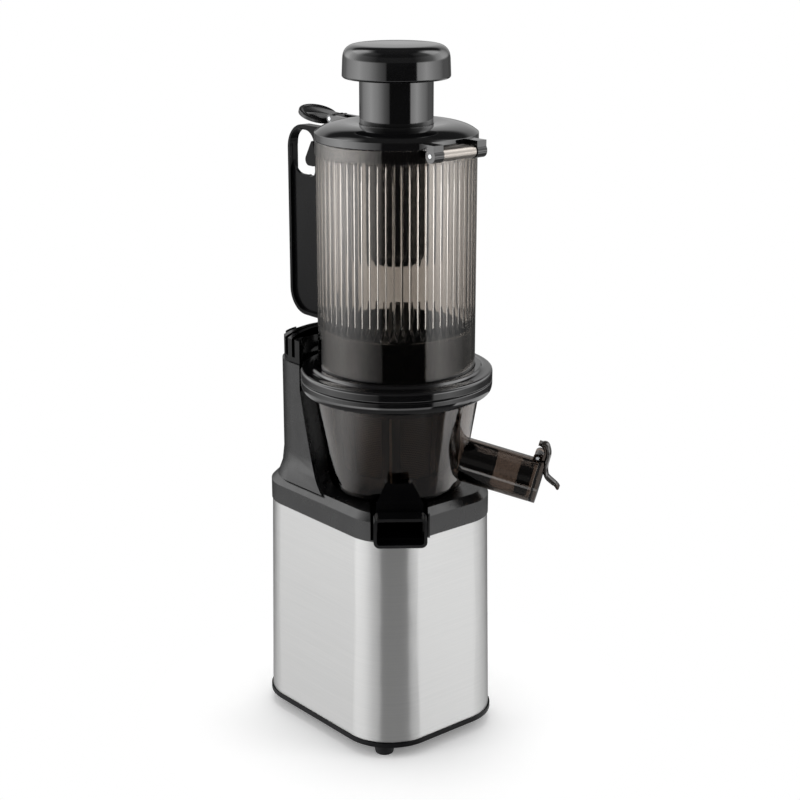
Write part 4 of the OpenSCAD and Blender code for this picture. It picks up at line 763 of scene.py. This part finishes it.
@dataclass
class Bowl:
    """Smoked bowl with its spout, rim ring, pulp chute and juice cap."""

    # Inner side along the bowl's wall, outer side rounded in below.
    rim_ring: Corners = ((61.1, 264.6, 0.1), (66.0, 264.6, 1.2), (69.2, 266.2, 1.8),
                         (70.18, 269.8, 1.6), (70.18, 274.4, 0.8), (62.75, 274.4, 0.2))
    spout_r: float = 13.9
    spout_skin: float = 0.9
    sleeve: Span = (50.0, 75.0)
    throat: Span = (94.0, 103.0)
    # Corners of the lever's line: along the spout's axis, up from it, rounding.
    lever: Corners = ((103.6, 28.0, 0), (107.8, 30.2, 2.2), (111.4, 24.0, 3.0),
                      (111.3, 12.0, 4.0), (114.2, 5.2, 2.4), (122.4, 1.4, 0))
    lever_thick: float = 1.9
    lever_wide: float = 4.0
    lever_end: float = 2.2

    def spout_ring(self, start: float, end: float) -> Grid:
        """Dark ring inside the spout, turned round its axis, from start to end mm along it."""
        inner, outer = self.spout_r - self.spout_skin, self.spout_r
        section = [(r, z, 0.2) for r, z in ((inner, start), (outer, start), (outer, end),
                                            (inner, end))]
        return Place.on_spout(turned(section, 4, 96), math.pi / 2 - Place.spout_slope)

    def lever_grid(self) -> Grid:
        """Lever of the juice cap: an oval swept along a curved line in the spout's upright plane.

        Round the line's point C with normal N, the surface is C + k thick cos(b) N + k wide
        sin(b) V, where V points across, b goes round, and k = sqrt(1 - (1 - d / end)^2) rounds
        each end over its last few mm d.
        """
        line, end = rounded(self.lever, 12), self.lever_end
        along = np.r_[0, np.cumsum(np.linalg.norm(np.diff(line, axis=0), axis=1))]
        whole = along[-1]
        spots = np.r_[np.linspace(0, end, 8), np.linspace(end, whole - end, 60)[1:-1],
                      np.linspace(whole - end, whole, 8)]
        line = np.stack([np.interp(spots, along, line[:, k]) for k in (0, 1)], -1)
        ahead = np.gradient(line, axis=0)
        normal = np.stack([-ahead[:, 1], ahead[:, 0]], -1)
        normal /= np.linalg.norm(ahead, axis=1, keepdims=True)
        left = np.clip(np.minimum(spots, whole - spots) / end, 0, 1)
        k = np.sqrt(1 - (1 - left) ** 2)[:, None]
        b = np.linspace(0, FULL_TURN, 32, endpoint=False)[None]
        out = k * self.lever_thick * np.cos(b)
        grid = np.stack([line[:, :1] + normal[:, :1] * out, k * self.lever_wide * np.sin(b),
                         line[:, 1:] + normal[:, 1:] * out], -1)
        return Place.on_spout(grid, -Place.spout_slope)

    def build(self, bench: Bench) -> None:
        """Builds and dresses the bowl and what is fixed to it."""
        bench.shape("cap_lever_grip", self.lever_grid(), Look.LEVER_SMOKE, "juice_cap",
                    replaces=False)
        for name, span in (("spout_sleeve", self.sleeve), ("spout_throat", self.throat)):
            bench.shape(name, self.spout_ring(*span), Look.GLOSS_BLACK, "juice_bowl",
                        replaces=False, ring=True)
        bench.polish("juice_bowl", Look.SMOKE_BOWL)
        bench.shape("bowl_rim_roll", turned(self.rim_ring, 7, 192), Look.GLOSS_BLACK,
                    "bowl_rim_ring", ring=True)
        bench.polish_all((
            ("bowl_hub_seal", Look.SILICONE), ("pulp_chute", Look.CHUTE_BLACK, 0.5),
            ("pulp_seal", Look.SILICONE), ("juice_cap", Look.SMOKE_CAP, 0.3),
            ("juice_cap_seal", Look.RUBBER), ("juice_cap_pin", Look.SHAFT_STEEL)))


@dataclass
class Works:
    """What turns in the bowl: strainer, wiper, auger and the pinion between them."""

    auger_crease: float = 50.0

    def build(self, bench: Bench) -> None:
        """Dresses the pieces in the bowl."""
        bench.polish_all((
            ("strainer_frame", Look.SMOKE_CAP), ("strainer_screen", Look.SCREEN),
            ("wiper_frame", Look.SMOKE_CAP), ("wiper_blades", Look.SILICONE),
            ("bowl_pinion", Look.GEAR_NYLON), ("bowl_pinion_pin", Look.SHAFT_STEEL),
            ("auger", Look.AUGER_BLACK, 0.0, self.auger_crease),
            ("auger_socket", Look.SHAFT_STEEL)))


@dataclass
class Hopper:
    """Fluted smoky tube in its black flange, with the handle."""

    tube_r: float = 57.2
    bore_r: float = 54.6
    lower_bore_r: float = 53.8
    foot_z: float = 276.5
    rib_z0: float = 314.2
    rib_z1: float = 438.1
    ribs: int = 60
    rib_steps: int = 16
    tube_rows: tuple[int, int] = (8, 16)
    row_gap: float = 4.0
    foot_row: float = 3.0
    rib_point: float = 12.0
    rib_fade: float = 1.5
    rib_over: float = 0.5
    rib_lag: float = 0.3
    rib_taper: float = 0.4
    sharpness: float = 7.0
    # Outer face up to the top band, and over it to where the ribs start.
    tube_face: Corners = ((55.2, 276.5, 0), (57.2, 276.5, 0.6), (57.2, 438.1, 0.2),
                          (57.8, 438.1, 0.2), (57.8, 448.1, 0.6), (54.6, 448.1, 0.6),
                          (54.6, 439.1, 0))
    # Flat foot, rounded ring, cove up to the collar, the tube's groove and the skirt.
    flange: Corners = ((51.3, 274.7, 0.2), (70.18, 274.7, 0.9), (70.18, 282.0, 2.4),
                       (65.4, 282.0, 1.2), (62.8, 282.5, 1.1), (61.0, 284.4, 0.5),
                       (57.5, 284.4, 0.3), (57.5, 276.4, 0), (53.5, 276.4, 0),
                       (53.5, 312.7, 0.5), (51.3, 312.7, 0.5))
    hinge_y: float = -63.5
    hinge_z: float = 445.5
    barrel_r: float = 4.3
    barrel_half: float = 14.9
    barrel_bevel: Span = (0.5, 0.8)
    barrel_blend: Span = (58.0, 26.0)
    barrel_sunk: float = 0.3
    barrel_reach: float = 0.55
    pin_r: float = 1.65

    def tube_grid(self) -> Grid:
        """Closed wall of the tube: the outer face up, the top, the ribbed bore down and the foot.

        The bore's radius is bore_r less the ribs' height times the larger of two shares. One
        is fade(z) ((1 + cos n a) / 2)^sharpness, a row of narrow upright ribs that fade out at
        the top band. The other narrows the bore to the ribs' crests below them, over rib_point
        mm and from the crests outward, so that the gaps end in points.
        """
        a = np.linspace(0, FULL_TURN, self.ribs * self.rib_steps, endpoint=False)[None]
        out = rounded(self.tube_face, 5)
        low, top, (many, fine) = self.rib_z0 + self.rib_point, self.rib_z1, self.tube_rows
        down = np.r_[top, np.linspace(top - self.rib_fade, low + self.row_gap, many),
                     np.linspace(low, self.rib_z0, fine), self.foot_z + self.foot_row,
                     self.foot_z][:, None]
        wave = np.cos(self.ribs * a)
        fade = np.clip((top + self.rib_over - down) / self.rib_fade, 0, 1)
        closed = np.clip((low - down) / self.rib_point, 0, 1)
        share = np.maximum(fade * ((1 + wave) / 2) ** self.sharpness,
                           np.clip((closed - self.rib_lag * (1 - wave)) / self.rib_taper, 0, 1))
        bore = self.bore_r - (self.bore_r - self.lower_bore_r) * share
        radius = np.vstack([out[:, :1] + 0 * a, bore])
        level = np.vstack([out[:, 1:], down]) + 0 * a
        return np.stack([radius * np.cos(a), radius * np.sin(a), level], -1)

    def barrel_grid(self) -> Grid:
        """Hinge barrel along x with its bore, drawn out to the tube's wall on that side.

        Round the pin by an angle b from the tube's side, the outer radius is barrel_r, and near
        that side it rises by the smooth step s^2 (3 - 2s) to reach / cos b, where it meets the
        wall. Each end is bevelled.
        """
        b = np.linspace(-math.pi, math.pi, 96, endpoint=False)[None]
        reach = self.barrel_sunk - self.hinge_y - self.tube_r
        start, over = np.radians(self.barrel_blend)
        s = np.clip((start - np.abs(b)) / over, 0, 1)
        wall = reach / np.cos(np.minimum(np.abs(b), self.barrel_reach))
        outer = self.barrel_r + (wall - self.barrel_r) * s ** 2 * (3 - 2 * s)
        half, (inset, drop) = self.barrel_half, self.barrel_bevel
        x = np.array([-half, -half, inset - half, half - inset, half, half, half, -half])[:, None]
        trim = drop * np.array([1.0, 0.35, 0, 0, 0.35, 1.0])[:, None]
        r = np.vstack([outer - trim, np.full((2, b.size), self.pin_r)])
        return np.stack([x + 0 * b, self.hinge_y + r * np.cos(b), self.hinge_z + r * np.sin(b)], -1)

    def build(self, bench: Bench) -> None:
        """Builds and dresses the hopper."""
        bench.shape("hopper_tube_ribbed", self.tube_grid(), Look.SMOKE_HOPPER, "hopper_tube",
                    ring=True, crease=50)
        bench.shape("hopper_flange_cove", turned(self.flange, 7, 192), Look.GLOSS_BLACK,
                    "hopper_flange", ring=True)
        bench.polish("hopper_seal", Look.SILICONE)
        bench.shape("hinge_barrel", self.barrel_grid(), Look.BARREL_STEEL, "hopper_tube", ring=True)
        bench.polish_all((
            # The handle's low shine and dark tone are painted shade for its recessed web.
            # The mount strip's warm grey is a painted reflection of the tube.
            ("handle", Look.HANDLE_BLACK, 0.6), ("handle_mount", Look.MOUNT_REFLECTION_GREY, 0.3),
            ("handle_screws", Look.SCREW_STEEL), ("hinge_pin", Look.SHAFT_STEEL, 0.3)))


@dataclass
class Lid:
    """Domed lid with its hinge, seal and latch."""

    # Ring that reaches down inside the hopper's top band.
    plug: Corners = ((51.6, 438.8, 0.4), (54.0, 438.8, 0.4), (54.0, 449.0, 0.2), (51.6, 449.0, 0.2))
    # Lip that rises from the thumb paddle's dish and rounds over to its edge.
    lip: Corners = ((10.3, 1.1, 0.1), (11.9, 1.45, 0.9), (13.1, 2.2, 0.7), (14.65, 1.6, 0.6),
                    (14.7, -1.3, 0.5), (13.5, -1.35, 0.2), (13.3, 0, 0))
    paddle: Triple = (0.0, 90.5, 456.5)
    paddle_tilt: float = math.radians(18.5)

    def build(self, bench: Bench) -> None:
        """Builds and dresses the lid and the latch."""
        bench.shape("lid_plug_ring", turned(self.plug, 4, 192), Look.GLOSS_BLACK, "lid",
                    replaces=False, ring=True)
        lip = placed(turned(self.lip, 6, 96), self.paddle,
                     Matrix.Rotation(self.paddle_tilt, 3, "X"))
        bench.shape("latch_paddle_lip", lip, Look.SHELL_BLACK, "latch_lever", replaces=False,
                    ring=True)
        bench.polish_all((
            ("lid", Look.GLOSS_BLACK, 0.4), ("lid_seal", Look.DARK_SILICONE),
            ("latch_lever", Look.SHELL_BLACK, 0.5), ("latch_pin", Look.SHAFT_STEEL)))


@dataclass
class Pusher:
    """Mushroom cap on its round shaft."""

    cap: Corners = ((0, 514.7, 0), (15, 514.68, 6), (37.3, 513.6, 9.5), (38.2, 492.0, 0.6),
                    (37.0, 490.8, 0.6), (26.1, 490.8, 0), (0, 490.8, 0))
    shaft: Corners = ((0, 358.5, 0), (20.5, 358.5, 11.8), (22.6, 457.5, 0.2),
                      (26.1, 457.5, 0.5), (26.1, 490.68, 0), (0, 490.68, 0))

    def build(self, bench: Bench) -> None:
        """Builds the cap and the shaft by turning their sections."""
        bench.shape("pusher_cap_dome", turned(self.cap, 10, 192), Look.GLOSS_BLACK, "pusher_cap")
        bench.shape("pusher_shaft_barrel", turned(self.shaft, 10, 192), Look.GLOSS_BLACK,
                    "pusher_shaft")


# --- the studio ---


@dataclass
class Studio:
    """White studio: the floor, the soft lights, the world and the camera."""

    azimuth: float = -40.0
    pitch: float = 17.0
    focal_px: float = 1700.0
    image_px: float = 800.0
    distance: float = 1252.0
    shift_right: float = -2.5
    target_z: float = 256.0
    sensor_mm: float = 36.0
    clip_end: float = 100.0
    # Levels of the room: the light on matt faces, the softboxes, and two even parts.
    room_level: float = 0.6
    softbox_level: float = 3.4
    low_share: float = 0.42
    high_share: float = 1.25
    ceiling_level: float = 0.1
    floor_level: float = 0.24
    # Where one part of the room gives way to the next, as the sine of the angle above level.
    floor_band: Span = (-0.5, -0.6)
    table_band: Span = (-0.352, -0.38)
    wall_band: Span = (-0.27, -0.17)
    loft_band: Span = (-0.02, 0.08)
    height_band: Span = (0.42, 0.56)
    ceiling_band: Span = (0.78, 0.92)
    # Degrees to the right of the camera's side, and the share of the softbox level there.
    table: Pairs = (
        (-180, 0.14), (-150, 0.2), (-128, 0.28), (-104, 0.33), (-97, 0.42), (-60, 0.82),
        (-24, 0.86), (-20, 0.44), (43, 0.44), (45, 0.02), (76, 0.02), (79, 0.9), (88, 0.6),
        (130, 0.4), (150, 0.22), (180, 0.14))
    walls: Pairs = (
        (-180, 0.05), (-156, 0.03), (-134, 0.12), (-112, 0.45), (-84, 0.95), (-60, 0.75),
        (-36, 0.3), (-22, 0.14), (-20, 0.01), (43, 0.01), (45, 0.7), (66, 1.0), (88, 0.55),
        (116, 0.14), (150, 0.03), (180, 0.05))
    lofts: Pairs = (
        (-180, 0.17), (-150, 0.16), (-126, 0.7), (-104, 0.7), (-84, 0.35), (-40, 0.05),
        (40, 0.05), (84, 0.35), (98, 0.7), (118, 0.7), (150, 0.12), (180, 0.17))
    heights: Pairs = (
        (-180, 0.01), (-144, 0.02), (-128, 1.0), (-106, 1.0), (-84, 0.2), (-40, 0.02),
        (40, 0.02), (84, 0.2), (96, 1.0), (118, 1.0), (138, 0.02), (180, 0.01))
    # The floor's rings in mm, where it fades to white in metres, and its own glow.
    floor_rings: Corners = ((0, 0, 0), (300, 0, 0), (700, 0, 0), (1500, 0, 0), (4000, 0, 0))
    floor_fade: Span = (0.1, 0.2)
    floor_glow: float = 0.15
    # What lamp takes, for each lamp.
    lamps: tuple[tuple, ...] = (("left_softbox", 165, 25, 1.6, (0.7, 1.4), 1.6),
                                ("right_softbox", -55, 25, 1.6, (0.7, 1.4), 1.6),
                                ("top_softbox", 50, 75, 1.5, (1.2, 1.2), 2.2))
    aim_z: float = 0.26

    def camera(self) -> None:
        """Sets the camera: back = (sin A cos P, -cos A cos P, sin P) from the target."""
        turn, tip = math.radians(self.azimuth), math.radians(self.pitch)
        right = Vector((math.cos(turn), math.sin(turn), 0))
        back = Vector((math.sin(turn) * math.cos(tip), -math.cos(turn) * math.cos(tip),
                       math.sin(tip)))
        target = Vector((*Place.axis_mm, self.target_z))
        spot = target + back * self.distance - right * self.shift_right
        data = bpy.data.cameras.new("studio_camera")
        data.sensor_width = self.sensor_mm
        data.lens = self.focal_px / self.image_px * self.sensor_mm
        data.clip_end = self.clip_end
        camera = bpy.data.objects.new("studio_camera", data)
        axes = Matrix((right, back.cross(right), back)).transposed().to_4x4()
        camera.matrix_world = Matrix.Translation(spot * MM) @ axes
        bpy.context.scene.collection.objects.link(camera)
        bpy.context.scene.camera = camera

    def world(self) -> None:
        """White backdrop seen directly and through clear plastic; gloss sees a dark room.

        The room has softboxes round the camera's two sides. From its floor up it has an even
        floor, the table, the walls, the lofts, the heights and an even ceiling, and each goes
        over smoothly into the next at its band. The walls are brighter above their own band.
        """
        world = bpy.data.worlds.new("studio")
        bpy.context.scene.world = world
        tree = fresh_tree(world)
        way = add_node(tree, "SeparateXYZ", {0: add_node(tree, "TexCoord").outputs["Generated"]})
        x, y, z = way.outputs
        turn = add_node(tree, "Math", {0: y, 1: x}, operation="ARCTAN2")
        turn = add_node(tree, "Math", {0: turn, 1: math.radians(self.azimuth - 90)},
                        operation="SUBTRACT")
        turn = add_node(tree, "Math", {0: turn, 1: math.pi, 2: -math.pi}, operation="WRAP")
        ends = {"From Min": -math.pi, "From Max": math.pi}
        share = add_node(tree, "MapRange", {"Value": turn, **ends})
        ramps = []
        for stops in (self.walls, self.table, self.lofts, self.heights):
            ramps.append(add_node(tree, "ValToRGB", {0: share}))
            elements = ramps[-1].color_ramp.elements
            for degrees, level in stops[1:-1]:
                elements.new(0.5 + degrees / 360).color = (level, level, level, 1)
            for element, (_, level) in ((elements[0], stops[0]), (elements[-1], stops[-1])):
                element.color = (level, level, level, 1)
        wall = self.switch(tree, z, self.wall_band, self.low_share, self.high_share)
        level = add_node(tree, "Math", {0: ramps[0], 1: wall}, operation="MULTIPLY")
        for band, ramp in zip((self.table_band, self.loft_band, self.height_band), ramps[1:]):
            level = self.switch(tree, z, band, level, ramp)
        level = add_node(tree, "Math", {0: level, 1: self.softbox_level}, operation="MULTIPLY")
        level = self.switch(tree, z, self.ceiling_band, level, self.ceiling_level)
        level = self.switch(tree, z, self.floor_band, level, self.floor_level)
        shaders = [add_node(tree, "Background", {"Color": WHITE, "Strength": strength})
                   for strength in (self.room_level, 1.0, level)]
        add_node(tree, "OutputWorld", {0: self.choose(tree, *shaders)})

    @staticmethod
    def switch(tree: Tree, value: Source, band: Span, first: Source, second: Source) -> Socket:
        """Goes smoothly from the first level to the second as the value crosses the band."""
        ends = {"From Min": band[0], "From Max": band[1]}
        share = add_node(tree, "MapRange", {"Value": value, **ends},
                         interpolation_type="SMOOTHSTEP")
        return add_node(tree, "Mix", {0: share, 2: first, 3: second}).outputs[0]

    @staticmethod
    def choose(tree: Tree, light: Node, seen: Node, mirrored: Node) -> Node:
        """Chooses a shader by what asks for it.

        Args:
            tree: node tree of the world or the floor.
            light: shader for the light on matt faces.
            seen: shader seen by the camera, directly or through clear plastic.
            mirrored: shader seen in glossy faces.

        Returns:
            Node with the chosen shader.
        """
        path = add_node(tree, "LightPath").outputs
        direct = add_node(tree, "Math", {0: path["Is Camera Ray"], 1: path["Is Transmission Ray"]},
                          operation="MAXIMUM")
        bounced = add_node(tree, "Math", {0: path["Glossy Depth"], 1: 0.5},
                           operation="GREATER_THAN")
        first = add_node(tree, "MixShader", {0: direct, 1: light, 2: seen})
        return add_node(tree, "MixShader", {0: bounced, 1: first, 2: mirrored})

    def lamp(self, name: str, turn: float, lift: float, away: float, size: Span,
             strength: float) -> None:
        """Adds a rectangular softbox that faces the machine's middle.

        Args:
            name: name of the lamp.
            turn: compass angle of its place round the machine, in degrees.
            lift: angle of its place above level, in degrees.
            away: distance from the machine's middle in metres.
            size: width and height in metres.
            strength: brightness of its face, where 1 is white.
        """
        data = bpy.data.lights.new(name, "AREA")
        data.shape = "RECTANGLE"
        data.size, data.size_y = size
        data.energy = strength * math.pi * size[0] * size[1]
        a, b = math.radians(turn), math.radians(lift)
        toward = Vector((math.cos(a) * math.cos(b), math.sin(a) * math.cos(b), math.sin(b)))
        lamp = bpy.data.objects.new(name, data)
        lamp.visible_glossy = False
        lamp.matrix_world = (Matrix.Translation(Vector((0, 0, self.aim_z)) + away * toward)
                             @ toward.to_track_quat("Z", "Y").to_matrix().to_4x4())
        bpy.context.scene.collection.objects.link(lamp)

    def floor(self) -> None:
        """Pale round floor that keeps the shadow near the machine and goes over into white."""
        mesh = make_mesh("studio_floor", turned(self.floor_rings, 2, 96))
        if mesh.polygons[0].normal.z < 0:
            mesh.flip_normals()
        floor = bpy.data.objects.new("studio_floor", mesh)
        bpy.context.scene.collection.objects.link(floor)
        material = bpy.data.materials.new("studio_floor")
        tree = fresh_tree(material)
        spot = add_node(tree, "TexCoord").outputs["Object"]
        away = add_node(tree, "VectorMath", {0: spot}, operation="LENGTH").outputs["Value"]
        fade = self.switch(tree, away, self.floor_fade, 0.0, 1.0)
        matt = add_node(tree, "BsdfDiffuse", {"Color": WHITE})
        glow, white = (add_node(tree, "Emission", {"Color": WHITE, "Strength": strength})
                       for strength in (self.floor_glow, 1.0))
        near = add_node(tree, "AddShader", {0: matt, 1: glow})
        seen = add_node(tree, "MixShader", {0: fade, 1: near, 2: white})
        clear = add_node(tree, "BsdfTransparent")
        add_node(tree, "OutputMaterial", {0: self.choose(tree, matt, seen, clear)})
        mesh.materials.append(material)
        floor.visible_glossy = False

    def build(self) -> None:
        """Sets up the whole studio."""
        bpy.context.scene.view_settings.view_transform = "Standard"
        self.camera()
        self.world()
        self.floor()
        for row in self.lamps:
            self.lamp(*row)


def main() -> None:
    """Builds the studio and each sub-assembly on the CAD frame, and logs each one as it is built.
    """
    logging.basicConfig(level=logging.INFO, format="%(name)s: %(message)s", stream=sys.stdout)
    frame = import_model()
    Place.settle()
    Studio().build()
    bench = Bench(frame)
    for part in (MotorBase(), Controls(), Drive(), Bowl(), Works(), Hopper(), Lid(), Pusher()):
        part.build(bench)
        LOG.info("%s built", type(part).__name__)


if __name__ == "__main__":
    main()
